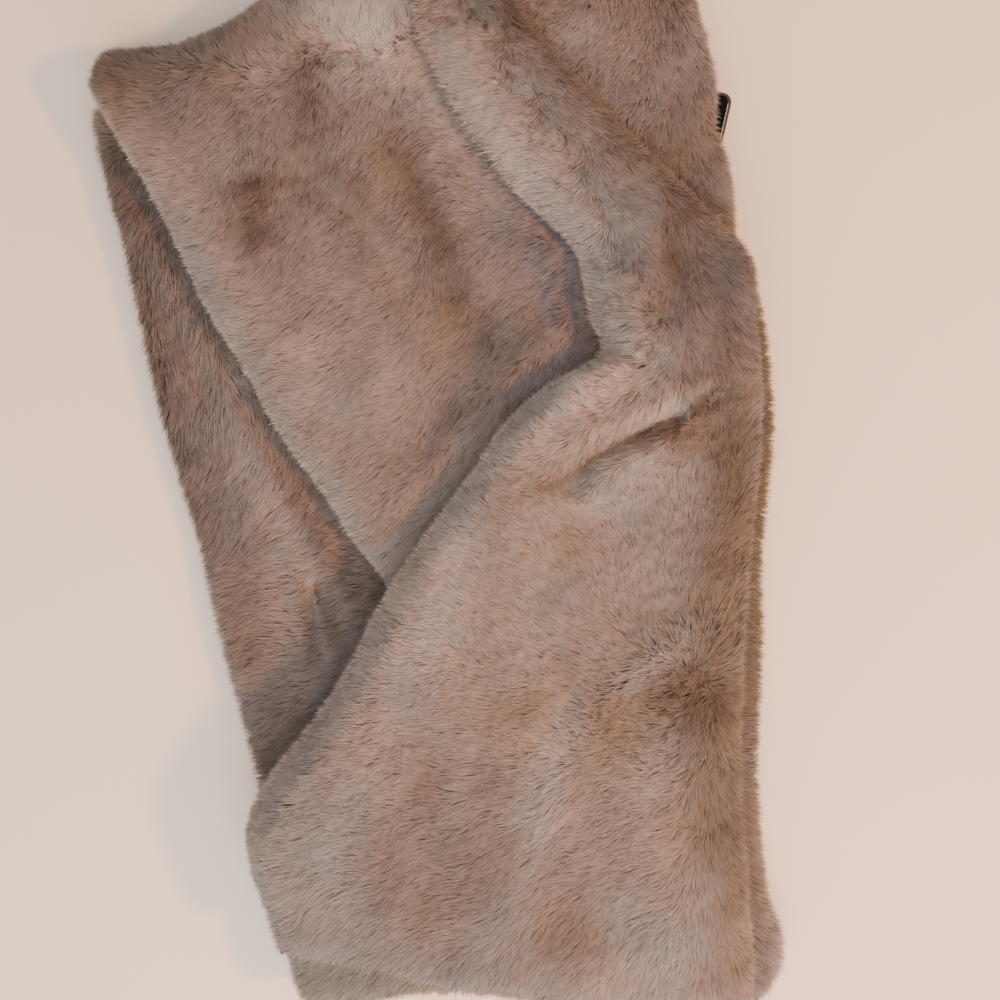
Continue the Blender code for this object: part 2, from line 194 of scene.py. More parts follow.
# A patch of pile whose tone differs: its middle, half length and half width, the turn of its
# length, its tone, how much of it, and how far its fibres stand up. Some patches are the fur's
# own tones; many others are painted shade in hollows, creases and on slopes turned from the
# lamp, and painted light that lifts cast shadows and stands for highlights on lit ridges.
Patch = namedtuple("Patch", "x y long wide turn tone amount stand", defaults=(0,))


def table(kind, *rows):
    """A table's rows, with the kind's names for their columns."""
    return tuple(kind(*row) for row in rows)


FOLD_LINE = (
    (-204, 224), (-165, 227), (-135, 237), (-110, 255), (-80, 271),
    (-40, 284), (0, 288), (45, 283), (80, 267), (98, 250),
)  # fmt: skip

UNDER_SECTIONS = (
    Section(-99, -249, 132, -256, 0, 20.0),
    Section(-104, -240, 140, -244, 0, 21.0),
    Section(-105, -230, 145, -231, 0, 21.5),
    Section(-106, -216, 143, -217, 0, 22.0),
    Section(-111, -200, 137, -202, 0, 22.0),
    Section(-116, -178, 134, -180, 0, 22.0),
    Section(-127, -130, 131, -132, 0, 22.0, 4),
    Section(-143, -72, 133.5, -72, 0, 22.0, 6),
    Section(-153.5, -26, 133, -30, 0, 22.0, 7),
    Section(-165, 10, 137, 10, 0, 22.0, 7),
    Section(-175, 44, 139, 44, 0, 22.0, 6),
    Section(-187, 100, 134, 92, 0, 22.0, 3),
    Section(-191, 124, 125, 118, 0, 22.0, 1),
    Section(-201, 163, 102, 158, 0.3, 22.0),
    Section(-207, 192, 92, 196, 0.7, 22.0),
    Section(-199, 204, 82, 240, 1, 22.0),
)

UNDER_CREASES = (
    Crease(-196, 130, -150, 70, 10, -1.2),
    Crease(-183, 143, -140, 65, 8, 3.0),
    Crease(-135, 51, -101, -5, 8, 3.0),
    Crease(-92, -15, -75, -45, 8, 3.8),
    Crease(-102, -24, -92, -66, 8, 2.6),
    Crease(-140, -90, -112, -130, 9, -1.5),
    Crease(-90, -44, -86, -78, 3.5, -3.0),
)

UNDER_NAP = table(
    Nap,
    (-200, 205, 190), (-190, 150, 250), (-180, 110, 285), (-165, 40, 290), (-150, 0, 250),
    (-135, -60, 200), (-110, -70, 185), (-115, -120, 200), (-105, -200, 200), (-60, -250, 260),
    (60, -255, 275), (140, -230, 330), (134, -100, 350), (136, 30, 350), (100, 200, 20),
)  # fmt: skip

UNDER_PATCHES = table(
    Patch,
    # The next six rows darken the left edge, whose slope turns away from the lamp: painted shade.
    (-178, 120, 80, 22, -79, "shade", 0.5),
    (-193, 140, 62, 11, -80, "brown", 0.7),
    (-168, 20, 66, 12, -76, "brown", 0.7),
    (-142, -20, 44, 13, -77, "umber", 0.55),
    (-134, -62, 62, 16, -77, "brown", 0.6),
    (-140, -26, 50, 12, -77, "mauve", 0.3),
    (-106, 0, 36, 6, -58, "mauve", 0.5),
    (-152, 62, 26, 9, -72, "rose", 0.45),
    # The next two rows lighten the shadow that the upper left panel's edge casts here: painted
    # light.
    (-124, 12, 62, 14, -66, "pale", 0.4),
    (-130, 40, 50, 9, -66, "pale", 0.5),
    (-117, -55, 26, 12, -70, "shade", 0.6),
    (-90, -38, 20, 6, -70, "shade", 0.7),
    # Lightens the shadow beneath the crossing flap's left edge: painted light.
    (-82, -85, 30, 9, 58, "pale", 0.7),
    (-113, -40, 34, 9, -76, "rose", 0.4),
    # Paler along the small ridge that catches the lamp: painted highlight.
    (-93, -52, 26, 5, -78, "pale", 0.6),
    # Darker in the crease beside that ridge: painted shade.
    (-85, -62, 18, 5, -84, "brown", 0.8),
    (-112, -112, 34, 18, -70, "shade", 0.5),
    # The next two rows give the strip of the right edge, which lies in shade, an olive painted
    # shade.
    (134, -40, 150, 9, 90, "olive", 0.9),
    (132, 100, 50, 9, 98, "olive", 0.9),
    (143, -222, 26, 12, 95, "rose", 0.7),
    (143, -222, 22, 10, 95, "pale", 0.6),
    (-74, -238, 54, 15, -4, "ash", 0.9),
)

# Each tone's fibres: their colour at the backing and at the tip. Besides the fur's own tones,
# patches use shade, umber, mauve, slate, moss and olive as painted shade, and pale, cream and
# fawn as painted light, where their tables say so.
TONES = {
    "base": ("#735B4C", "#A79586"),
    "brown": ("#5A4536", "#8A725F"),
    "tan": ("#735846", "#A7907C"),
    "rose": ("#745A4C", "#AA9286"),
    "grey": ("#705D52", "#A3978F"),
    "pale": ("#866E5F", "#BCB0A6"),
    "cream": ("#9C8372", "#DACABD"),
    # the pale tone of a painted highlight on the fibres at a left rim
    "rim_highlight": ("#8C715E", "#D0BAA8"),
    "fawn": ("#80664F", "#C2A58C"),
    "shade": ("#5C4B42", "#8F837C"),
    "umber": ("#4A3729", "#755F4D"),
    "mauve": ("#665B5A", "#9C9192"),
    "slate": ("#5E5A62", "#96919B"),
    "ash": ("#605B50", "#918C82"),
    "moss": ("#443A33", "#6F645A"),
    "olive": ("#4C3C23", "#816D4D"),
}


def through(rows, at):
    """Reads a table at fractional row numbers along cubic Hermite spans, whose slope at each
    row is half the step between its neighbours."""
    rows = np.asarray(rows, float)
    slope = np.gradient(rows, axis=0)
    low = np.clip(np.floor(at).astype(int), 0, len(rows) - 2)
    part = (at - low)[:, None]
    start = 2 * part**3 - 3 * part**2 + 1
    leave = part**3 - 2 * part**2 + part
    arrive = part**3 - part**2
    return (
        start * rows[low]
        + (1 - start) * rows[low + 1]
        + leave * slope[low]
        + arrive * slope[low + 1]
    )


def guide_height(line, x):
    """The Y of a guide line at X, along cubic spans through its points."""
    points = np.asarray(line, float)
    place = np.interp(x, points[:, 0], np.arange(len(points)))
    return through(points, np.ravel(place))[:, 1].reshape(np.shape(x))


def edge_spacing(length, radius, between):
    """Distances along each length: quarter-turn steps of radius * (1 - cos) at both ends, and
    even steps between them."""
    length = np.atleast_1d(np.asarray(length, float))[:, None]
    radius = np.minimum(radius, WIDEST_EDGE * length)
    edge = radius * (1 - np.cos(np.linspace(0, math.pi / 2, EDGE_TURN_STEPS + 1)))
    share = np.linspace(0, 1, between + 1)[1:-1]
    middle = radius + (length - 2 * radius) * share
    return np.concatenate([edge, middle, (length - edge)[:, ::-1]], axis=1)


def rounding(distance, radius):
    """Quarter ellipse: 0 at an edge's tip, 1 where its turn is over."""
    return np.sqrt(1 - (1 - np.clip(distance / radius, 0, 1)) ** 2)


def drooping(distance, reach):
    """What is left of an edge's droop this far in: 1 at the edge, falling as a parabola."""
    return (1 - np.clip(distance / reach, 0, 1)) ** 2


def stretch_plan(sections, guide, side_radius, end_radius, reach, spacing):
    """A stretch seen from above on a grid. Rows follow the table's sections evenly along the
    stretch, columns run between their two ends, and curl bends a row to the guide line."""
    fine = np.linspace(0, len(sections) - 1, SAMPLES_PER_ROW * len(sections))
    middles = through(sections, fine)
    across = (middles[:, 0:2] + middles[:, 2:4]) / 2
    travelled = np.concatenate([[0], np.cumsum(np.linalg.norm(np.diff(across, axis=0), axis=1))])
    total = travelled[-1]
    wanted = edge_spacing(total, end_radius, round((total - 2 * end_radius) / spacing))[0]
    rows = through(sections, np.interp(wanted, travelled, fine))
    left, right = rows[:, 0:2], rows[:, 2:4]
    curl, crown, droop_left, droop_right, flank, flank_width = np.split(rows[:, 4:], 6, axis=1)
    width = np.linalg.norm(right - left, axis=1)[:, None]
    from_left = edge_spacing(width[:, 0], side_radius, round(float(width.mean()) / spacing))
    share = from_left / width
    x = left[:, :1] + share * (right - left)[:, :1]
    y = left[:, 1:] + share * (right - left)[:, 1:]
    ends = guide_height(guide, left[:, :1]), guide_height(guide, right[:, :1])
    y = y + curl * (guide_height(guide, x) - ends[0] - share * (ends[1] - ends[0]))
    from_right = width - from_left
    edge = np.minimum(from_left, from_right)
    droop = droop_left * drooping(from_left, reach) + droop_right * drooping(from_right, reach)
    from_hem = np.broadcast_to(wanted[:, None], x.shape)
    from_fold = np.broadcast_to((total - wanted)[:, None], x.shape)
    return {
        "x": x,
        "y": y,
        "crown": crown - flank * drooping(from_left, flank_width),
        "droop": droop,
        "side": rounding(edge, np.minimum(side_radius, WIDEST_EDGE * width)),
        "edge": edge,
        "from_left": from_left,
        "from_end": np.minimum(from_hem, from_fold),
        "from_hem": from_hem,
        "from_fold": from_fold,
    }


def relief(creases, x, y):
    """Sum of the creases: each a bell of its width and height across its line, which fades
    past its two ends."""
    total = np.zeros_like(x)
    for crease in creases:
        run = np.array([crease.x1 - crease.x0, crease.y1 - crease.y0], float)
        along = ((x - crease.x0) * run[0] + (y - crease.y0) * run[1]) / (run @ run)
        along = np.clip(along, 0, 1)
        off = (x - crease.x0 - along * run[0]) ** 2 + (y - crease.y0 - along * run[1]) ** 2
        total += crease.height * np.exp(-off / crease.width**2)
    return total


def uneven(x, y, wavelength, seed):
    """Smooth unevenness of about -2 to 2: a sum of plane waves near one wavelength, with
    seeded directions and phases."""
    draw = np.random.default_rng(seed)
    turn, phase = draw.uniform(0, 2 * math.pi, (2, WAVES))
    pitch = 2 * math.pi / wavelength * draw.uniform(*WAVE_SPREAD, WAVES)
    total = np.zeros(np.shape(x))
    for t, p, k in zip(turn, phase, pitch):
        total += np.sin(k * (x * math.cos(t) + y * math.sin(t)) + p)
    return total / math.sqrt(WAVES / 2)


def unit(vectors):
    """The vectors, each divided by its length."""
    return vectors / np.maximum(np.linalg.norm(vectors, axis=-1, keepdims=True), 1e-9)


def outward_normals(points):
    """Unit normals of a grid of points: the cross product of its steps along and across."""
    across, along = np.gradient(points, axis=1), np.gradient(points, axis=0)
    return unit(np.cross(across, along))


def rim_of(grid):
    """Which points of a grid lie on its outer edge."""
    rim = np.ones(grid.shape[:2], bool)
    rim[1:-1, 1:-1] = False
    return rim


def sheets_of(plan, top, bottom):
    """The upper and the lower sheet of a stretch as grids of points in millimetres, about the
    model's origin; they share their outer edge."""
    east, north = plan["x"] - LAYOUT_MIDDLE[0], plan["y"] - LAYOUT_MIDDLE[1]
    upper = np.stack([east, north, top], axis=2)
    lower = np.stack([east, north, bottom], axis=2)
    rim = rim_of(upper)
    lower[rim] = upper[rim]
    return upper, lower


def in_layout(points):
    """X and Y of points about the model's origin, in the tables' coordinates."""
    return points[..., 0] + LAYOUT_MIDDLE[0], points[..., 1] + LAYOUT_MIDDLE[1]


def sunk(upper, lower, thickness):
    """Both sheets moved in by the pile's depth: the upper one along its normals, by a share of
    the thickness where the stretch thins out; the lower one sideways with it, and up by a share
    of what is left above it. At the rim they move together."""
    depth = np.minimum(PILE_DEPTH, SINK_SHARE * thickness)[..., None]
    above, below = outward_normals(upper), -outward_normals(lower)
    rim = rim_of(upper)
    above[rim] = below[rim] = unit(above + below)[rim]
    inner = upper - depth * above
    floor = inner.copy()
    rise = np.minimum(depth[..., 0], FLOOR_SHARE * (upper - lower)[..., 2])
    floor[..., 2] = lower[..., 2] + rise
    floor[rim] = inner[rim]
    inner[..., 2] = np.maximum(inner[..., 2], floor[..., 2])
    return inner, floor, above, below


def shell_of_cloth(name, sheets, material):
    """A closed wall of backing cloth: both sheets joined along their rim, and Solidify inwards."""
    plan, upper, lower = sheets
    upper, lower, _, _ = sunk(upper, lower, plan["thickness"])
    lower[..., 2] = np.maximum(lower[..., 2], CLOTH_CLEARANCE)
    rows, columns = upper.shape[:2]
    above = np.arange(rows * columns).reshape(rows, columns)
    below = above.copy()
    within = np.arange((rows - 2) * (columns - 2)).reshape(rows - 2, columns - 2)
    below[1:-1, 1:-1] = rows * columns + within
    points = np.concatenate([upper.reshape(-1, 3), lower[1:-1, 1:-1].reshape(-1, 3)])
    up, down = (
        np.stack([g[:-1, :-1], g[:-1, 1:], g[1:, 1:], g[1:, :-1]], axis=2).reshape(-1, 4)
        for g in (above, below)
    )
    piece = mesh_piece(name, points * MM, np.concatenate([up, down[:, ::-1]]), material)
    piece.data.shade_smooth()
    wall = piece.modifiers.new("cloth_wall", "SOLIDIFY")
    wall.thickness = CLOTH_WALL * MM
    wall.offset = -1
    return piece


def inside(x, y, ring):
    """Whether points lie in a closed outline: the number of its sides to their right is odd."""
    odd = np.zeros(x.shape, bool)
    for (x0, y0), (x1, y1) in zip(ring, np.roll(ring, -1, axis=0)):
        crosses = (y0 > y) != (y1 > y)
        step = x0 + (y - y0) / (y1 - y0 if y1 != y0 else 1) * (x1 - x0)
        odd ^= crosses & (x < step)
    return odd


def beyond(x, y, ring):
    """How far points lie outside a closed outline, and the unit direction straight out to
    them: measured from the nearest point of its nearest side."""
    best = np.full(x.shape, np.inf)
    out = np.zeros((2, *x.shape))
    for (x0, y0), (x1, y1) in zip(ring, np.roll(ring, -1, axis=0)):
        run_x, run_y = x1 - x0, y1 - y0
        share = ((x - x0) * run_x + (y - y0) * run_y) / max(run_x**2 + run_y**2, 1e-9)
        share = np.clip(share, 0, 1)
        off_x, off_y = x - x0 - share * run_x, y - y0 - share * run_y
        far = np.hypot(off_x, off_y)
        nearer = far < best
        best = np.where(nearer, far, best)
        out = np.where(nearer, np.stack([off_x, off_y]) / np.maximum(far, 1e-9), out)
    return np.where(inside(x, y, ring), 0.0, best), out


def nap_direction(rows, x, y):
    """Unit direction of the tips in plan, and how far the rows disagree there, 0 to 1: the
    rows' directions weighted by about the inverse fourth power of distance, and 1 less their
    sum's share of the weights, to the power RUFFLE_POWER."""
    total, weights = np.zeros((2, *x.shape)), np.zeros(x.shape)
    for row in rows:
        angle = math.radians(row.way)
        weight = 1 / ((x - row.x) ** 2 + (y - row.y) ** 2 + NAP_SOFTNESS) ** 2
        total += weight * np.array([math.cos(angle), math.sin(angle)])[:, None]
        weights += weight
    size = np.linalg.norm(total, axis=0)
    return total / np.maximum(size, 1e-12), (1 - size / weights) ** RUFFLE_POWER


def fibre_tone(name):
    """A tone's two linear colours, at the backing and at the tip."""
    return np.array([linear(colour) for colour in TONES[name]])


def toned(patches, x, y):
    """The fibres' two colours and how far they stand up at each place: the base tone, led
    towards each patch's tone by a bell over the patch."""
    colours = np.broadcast_to(fibre_tone("base"), (*x.shape, 2, 3)).copy()
    stand = np.zeros(x.shape)
    for patch in patches:
        turn = math.radians(patch.turn)
        along = (x - patch.x) * math.cos(turn) + (y - patch.y) * math.sin(turn)
        beside = (y - patch.y) * math.cos(turn) - (x - patch.x) * math.sin(turn)
        bell = np.exp(-((along / patch.long) ** 2) - (beside / patch.wide) ** 2)
        colours += (patch.amount * bell)[..., None, None] * (fibre_tone(patch.tone) - colours)
        stand += patch.stand * bell
    return colours, stand


# How the pile grows: plush fibres are drawn as flat tapered blades, several real fibres
# wide, because single ones of 0.03 mm wouldn't show. VARIES is a spread about the mean.
FIBRE_LENGTH = 8.0
LENGTH_VARIES, LENGTH_LIMITS = 0.12, (0.6, 1.4)  # shares of the length
FIBRE_WIDTH = 0.46
WIDTH_VARIES, WIDTH_LIMITS = 0.2, (0.5, 1.6)  # shares of the width
FIBRE_RISE = 0.46  # sine of the fibre's slope where the pile lies down
RISE_VARIES, RISE_LIMITS = 0.03, (0.22, 0.95)
FIBRE_WANDER = 9.0  # degrees by which single fibres leave the nap
RUFFLED_WANDER = 3  # how many times more of it there is where the nap's rows disagree
NAP_FALL = -0.35  # how far the nap leans down, so that it hangs on a wall
TONE_REACH = 0.6 * FIBRE_LENGTH  # how far along the nap a fibre takes its tone from
TONE_VARIES, TONE_LIMITS = 0.05, (0.5, 1.6)
WARMTH_VARIES = 0.01
PILE_CLEARANCE = 0.4  # the lowest that a blade reaches above the table
ROOT_STRIP = 2.0  # roots are put in order by strips of this width
TURNED_IN = -0.93  # the Z of the normal down to which the lower sheet has pile
TURNED_IN_SHARE = 0.7  # how dense it is there
CORNER_REACH = 2.0  # no fibres grow nearer than this to a stretch's corner
EDGE_WATCH = 14.0  # fibres rooted nearer than this to an edge bend down over it
EDGE_SPIKES = (0.8, 2.2)  # the least and the mean further length that stands out past it
SPIKE_LIMIT = 5.0
EDGE_FALL = 0.8  # how far a tip drops for each millimetre that it is drawn back
OUTLINE_STEP = 3  # every third point of the grid's edge is in the outline
RIM_WIDTH_SEEN = 5.0  # how far in from a left edge the fibres show their pale tips side on, a painted highlight
RIM_STAND = 0.22  # how much further the fibres at an edge stand out from it, on average
RIM_CONTRAST = 0.3  # how much more the fibres at an edge differ in tone
FIBRE_ROLL = (14.0, 50.0)  # degrees that single fibres turn on their length, and more at an edge
ROLL_LIMIT = 1.8
WHOLE = (-math.inf, math.inf)  # the range of Y of a pile that isn't split
FLUFF_TONES = (0.75, 1.25)  # the backing's darkest and palest tone, as shares of its colour
BAKED_BLADE = ((0.08, 0.08), (0.92, 0.08), (0.5, 0.92))  # a blade in its cell of the UV map

# How unevenly the pile lies and is toned: each wave's size, its length and its seed.
Wave = namedtuple("Wave", "size length seed")
NAP_WAVES = (Wave(8.4, 42.0, 5), Wave(7.0, 13.0, 6))  # degrees
RUFFLE_WAVES = (Wave(110.0, 8.0, 14),)  # degrees more, where the nap's rows disagree
LENGTH_WAVES = (Wave(0.05, 2.3, 12),)
RISE_WAVES = (Wave(0.03, 9.0, 7),)
LOCK_WAVES = (Wave(0.1, 17.0, 8),)
TONE_WAVES = (Wave(0.05, 30.0, 9), Wave(0.045, 7.0, 10), Wave(0.06, 2.1, 13))
WARMTH_WAVES = (Wave(0.025, 55.0, 11),)

# Fibres gather in tufts and locks: the size of their cells, how far tips are drawn in, and
# a seed. A cell's wobble, the wobble's length and the cell's height are shares of its size.
Gather = namedtuple("Gather", "size pull seed")
TUFTS = Gather(7.0, 0.12, 31)
LOCKS = Gather(1.9, 0.24, 21)
LOCK_LIMITS = (0.05, 0.6)
CELL_WOBBLE, WOBBLE_LENGTH, CELL_HEIGHT = 0.45, 3.1, 2.5


def unevenness(waves, x, y):
    """The sum of the waves' smooth unevenness, each times its size."""
    return sum(wave.size * uneven(x, y, wave.length, wave.seed) for wave in waves)


def gathered(tips, roots, cells, pull):
    """Tips drawn together: fibres whose roots share a cell of an uneven grid lean towards the
    cell's mean tip, by the share pull."""
    x, y, z = roots.T
    wobble, length = CELL_WOBBLE * cells.size, WOBBLE_LENGTH * cells.size
    u = x + wobble * uneven(x, y, length, cells.seed)
    v = y + wobble * uneven(x, y, length, cells.seed + 1)
    places = np.floor(np.stack([u, v, z / CELL_HEIGHT]) / cells.size).astype(int)
    _, cell = np.unique(places, axis=1, return_inverse=True)
    cell = cell.ravel()
    count = np.bincount(cell)
    mean = np.stack([np.bincount(cell, tips[:, k]) / count for k in range(3)], axis=1)
    return tips + pull[:, None] * (mean[cell] - tips)


def spread_roots(draw, sheets, count, covers, part):
    """Roots spread evenly by area on the sunk upper sheet, and more thinly on the turned-in
    edge of the lower one: none at a corner, under a cover or outside the part's range of Y.
    Each is a mean of its cell's four corners, and comes with the normal there and with how
    far it lies from the nearest edge and from the left one."""
    plan, upper, lower = sheets
    upper, lower, up_normals, low_normals = sunk(upper, lower, plan["thickness"])
    corner = (plan["edge"] < CORNER_REACH) & (plan["from_end"] < CORNER_REACH)
    nearest = np.minimum(plan["edge"], plan["from_end"])
    dense = (1.0, TURNED_IN_SHARE * (low_normals[:-1, :-1, 2] > TURNED_IN))
    grids, areas = [], []
    for points, normals, density in zip((upper, lower), (up_normals, low_normals), dense):
        step_a = points[1:, :-1] - points[:-1, :-1]
        step_b = points[:-1, 1:] - points[:-1, :-1]
        area = np.linalg.norm(np.cross(step_a, step_b), axis=2) * density
        x, y = in_layout((points[:-1, :-1] + points[1:, 1:]) / 2)
        for ring in covers:
            area = area * ~inside(x, y, ring)
        area = area * ((y > part[0]) & (y <= part[1])) * ~corner[:-1, :-1]
        grids.append(np.dstack([points, normals, nearest, plan["from_left"]]))
        areas.append(area)
    total = sum(area.sum() for area in areas)
    found = []
    for grid, area in zip(grids, areas):
        number = int(round(count * (area.sum() / total)))
        cell = draw.choice(area.size, number, p=area.ravel() / area.sum())
        r, c = np.unravel_index(cell, area.shape)
        fr, fc = draw.random((2, number, 1))
        weights = ((1 - fr) * (1 - fc), (1 - fr) * fc, fr * (1 - fc), fr * fc)
        places = ((r, c), (r, c + 1), (r + 1, c), (r + 1, c + 1))
        found.append(sum(w * grid[p] for w, p in zip(weights, places)))
    found = np.concatenate(found)
    found = found[np.lexsort((found[:, 0], np.floor(found[:, 1] / ROOT_STRIP)))]
    return found[:, 0:3], unit(found[:, 3:6]), found[:, 6], found[:, 7]


def lay_tips(draw, base, normal, way, ruffled, stand, at_rim):
    """Each tip lies a fibre's length from its root: rise is the share of it along the normal,
    and the rest runs along the sheet, the nap's way turned by its unevenness. Tufts and then
    locks draw the tips together."""
    number = len(base)
    x, y = in_layout(base)
    swing = unevenness(NAP_WAVES, x, y) + ruffled * unevenness(RUFFLE_WAVES, x, y)
    swing += FIBRE_WANDER * (1 + RUFFLED_WANDER * ruffled) * draw.standard_normal(number)
    cos, sin = np.cos(np.radians(swing)), np.sin(np.radians(swing))
    turned = [way[0] * cos - way[1] * sin, way[0] * sin + way[1] * cos]
    lay = np.stack([*turned, np.full(number, NAP_FALL)], axis=1)
    lay = unit(lay - (lay * normal).sum(1, keepdims=True) * normal)
    length = FIBRE_LENGTH * draw.normal(1, LENGTH_VARIES, number).clip(*LENGTH_LIMITS)
    length *= 1 + unevenness(LENGTH_WAVES, x, y)
    rise = FIBRE_RISE + unevenness(RISE_WAVES, x, y) + RISE_VARIES * draw.standard_normal(number)
    rise += stand + RIM_STAND * at_rim * draw.exponential(1, number)
    rise = rise.clip(*RISE_LIMITS)
    run = np.sqrt(1 - rise**2)
    tips = base + (length * rise)[:, None] * normal + (length * run)[:, None] * lay
    tips = gathered(tips, base, TUFTS, np.full(number, TUFTS.pull))
    locks = LOCKS.pull + unevenness(LOCK_WAVES, x, y)
    return gathered(tips, base, LOCKS, locks.clip(*LOCK_LIMITS))


def bend_over_edges(draw, tips, near, plan):
    """Tips near an edge that reach outside the outline are drawn straight back to it and
    down, all but a spike of exponential length."""
    sides = ((np.s_[0], 1), (np.s_[:, -1], 1), (np.s_[-1], -1), (np.s_[:, 0], -1))
    ring = np.concatenate(
        [np.stack([plan["x"][s], plan["y"][s]], 1)[:: way * OUTLINE_STEP] for s, way in sides]
    )
    far, out = beyond(*in_layout(tips[near]), ring)
    spikes = EDGE_SPIKES[0] + draw.exponential(EDGE_SPIKES[1], far.size).clip(0, SPIKE_LIMIT)
    spare = np.maximum(far - spikes, 0)
    tips[near] -= np.stack([spare * out[0], spare * out[1], EDGE_FALL * spare], axis=1)


def blades(draw, base, tips, normal, at_rim):
    """One triangle for each fibre: its width across the root, turned on its length by its
    roll, and its tip."""
    number = len(base)
    direction = unit(tips - base)
    across = unit(np.cross(direction, normal))
    roll = np.radians(FIBRE_ROLL[0] + FIBRE_ROLL[1] * at_rim)
    roll = (roll * draw.standard_normal(number).clip(-ROLL_LIMIT, ROLL_LIMIT))[:, None]
    across = across * np.cos(roll) + np.cross(direction, across) * np.sin(roll)
    width = FIBRE_WIDTH * draw.normal(1, WIDTH_VARIES, number).clip(*WIDTH_LIMITS)
    aside = (0.5 * width)[:, None] * across
    blade = np.stack([base - aside, base + aside, tips], axis=1)
    blade[..., 2] = np.maximum(blade[..., 2], PILE_CLEARANCE)
    return blade


def paint_pile(draw, pile, colours, x, y, at_rim):
    """Gives each blade its root and tip colours, with shifts of tone and warmth that vary
    smoothly and from fibre to fibre, and a cell of its own in the UV map."""
    number = len(x)
    shift = 1 + unevenness(TONE_WAVES, x, y)
    shift += (TONE_VARIES + RIM_CONTRAST * at_rim) * draw.standard_normal(number)
    warmth = unevenness(WARMTH_WAVES, x, y) + WARMTH_VARIES * draw.standard_normal(number)
    tint = np.stack([1 + warmth, np.ones(number), 1 - warmth], axis=1)
    colours = colours * shift.clip(*TONE_LIMITS)[:, None, None] * tint[:, None, :]
    corners = np.ones((number, 3, 4), np.float32)
    corners[:, 0, :3] = corners[:, 1, :3] = colours[:, 0]
    corners[:, 2, :3] = colours[:, 1]
    layer = pile.data.color_attributes.new("fibre_colour", "FLOAT_COLOR", "POINT")
    layer.data.foreach_set("color", corners.ravel())
    side = math.ceil(math.sqrt(number))
    cell = np.arange(number)
    low = np.stack([cell % side, cell // side], axis=1)[:, None, :]
    places = ((low + np.array(BAKED_BLADE)) / side).astype(np.float32)
    pile.data.uv_layers.new(name="OFBake").data.foreach_set("uv", places.ravel())


def grow_pile(name, sheets, nap, patches, material, count, seed, covers=(), part=WHOLE):
    """A pile of fibres on a stretch: its roots are spread, its tips laid along the nap, more
    upright in patches that stand, bent over the edges, and each blade takes its tone from
    the patches, which hold painted light and shade as well as the fur's own tones, and, at a
    left rim, from the pale tone of a painted rim highlight."""
    draw = np.random.default_rng(seed)
    plan = sheets[0]
    base, normal, rim, left = spread_roots(draw, sheets, count, covers, part)
    x, y = in_layout(base)
    at_rim = np.exp(-((rim / RIM_WIDTH_SEEN) ** 2))
    way, ruffled = nap_direction(nap, x, y)
    colours, stand = toned(patches, x + TONE_REACH * way[0], y + TONE_REACH * way[1])
    # Painted highlight: fibres near a left rim are led towards a pale tone, which lifts the shade
    # on the rim's side away from the lamp and stands for tips lit side on.
    rim_highlighted = plan["rim_highlight"] * np.exp(-((left / RIM_WIDTH_SEEN) ** 2))
    colours += rim_highlighted[:, None, None] * (fibre_tone("rim_highlight") - colours)
    tips = lay_tips(draw, base, normal, way, ruffled, stand, at_rim)
    bend_over_edges(draw, tips, rim < EDGE_WATCH, plan)
    corners = blades(draw, base, tips, normal, at_rim).reshape(-1, 3) * MM
    pile = mesh_piece(name, corners, np.arange(len(corners)).reshape(-1, 3), material)
    paint_pile(draw, pile, colours, x, y, at_rim)
    return pile


def pile_material(name):
    """Acrylic plush fibres: soft and matt, with a faint sheen along them, coloured by the
    fibre_colour attribute from their dark roots to their pale tips."""
    material = new_material(name)
    colour = add_node(material, "ShaderNodeAttribute", {"attribute_name": "fibre_colour"})
    fibre = add_node(
        material,
        "ShaderNodeBsdfPrincipled",
        {
            "Roughness": 0.62,
            "Specular IOR Level": 0.25,
            "Sheen Weight": 0.18,
            "Sheen Roughness": 0.45,
            "Sheen Tint": (*linear("#E9DCD0"), 1),
        },
        {"Base Color": colour.outputs["Color"]},
    )
    add_node(material, "ShaderNodeOutputMaterial", {}, {"Surface": fibre.outputs["BSDF"]})
    return material


def backing_material(name, colour):
    """Knitted backing under the pile: dark, quite matt, with a fine uneven nap of its own,
    900 grains to the metre."""
    material = new_material(name)
    place = add_node(material, "ShaderNodeTexCoord")
    fluff = add_node(
        material,
        "ShaderNodeTexNoise",
        {"Scale": 900.0, "Detail": 3.0},
        {"Vector": place.outputs["Object"]},
    )
    tone = add_node(material, "ShaderNodeValToRGB", {}, {"Fac": fluff.outputs["Fac"]})
    for element, share in zip(tone.color_ramp.elements, FLUFF_TONES):
        element.color = (*(share * linear(colour)), 1)
    bump = add_node(
        material,
        "ShaderNodeBump",
        {"Strength": 0.5, "Distance": 0.8 * MM},
        {"Height": fluff.outputs["Fac"]},
    )
    cloth = add_node(
        material,
        "ShaderNodeBsdfPrincipled",
        {"Roughness": 0.9, "Specular IOR Level": 0.1, "Sheen Weight": 0.1},
        {"Base Color": tone.outputs["Color"], "Normal": bump.outputs["Normal"]},
    )
    add_node(material, "ShaderNodeOutputMaterial", {}, {"Surface": cloth.outputs["BSDF"]})
    return material


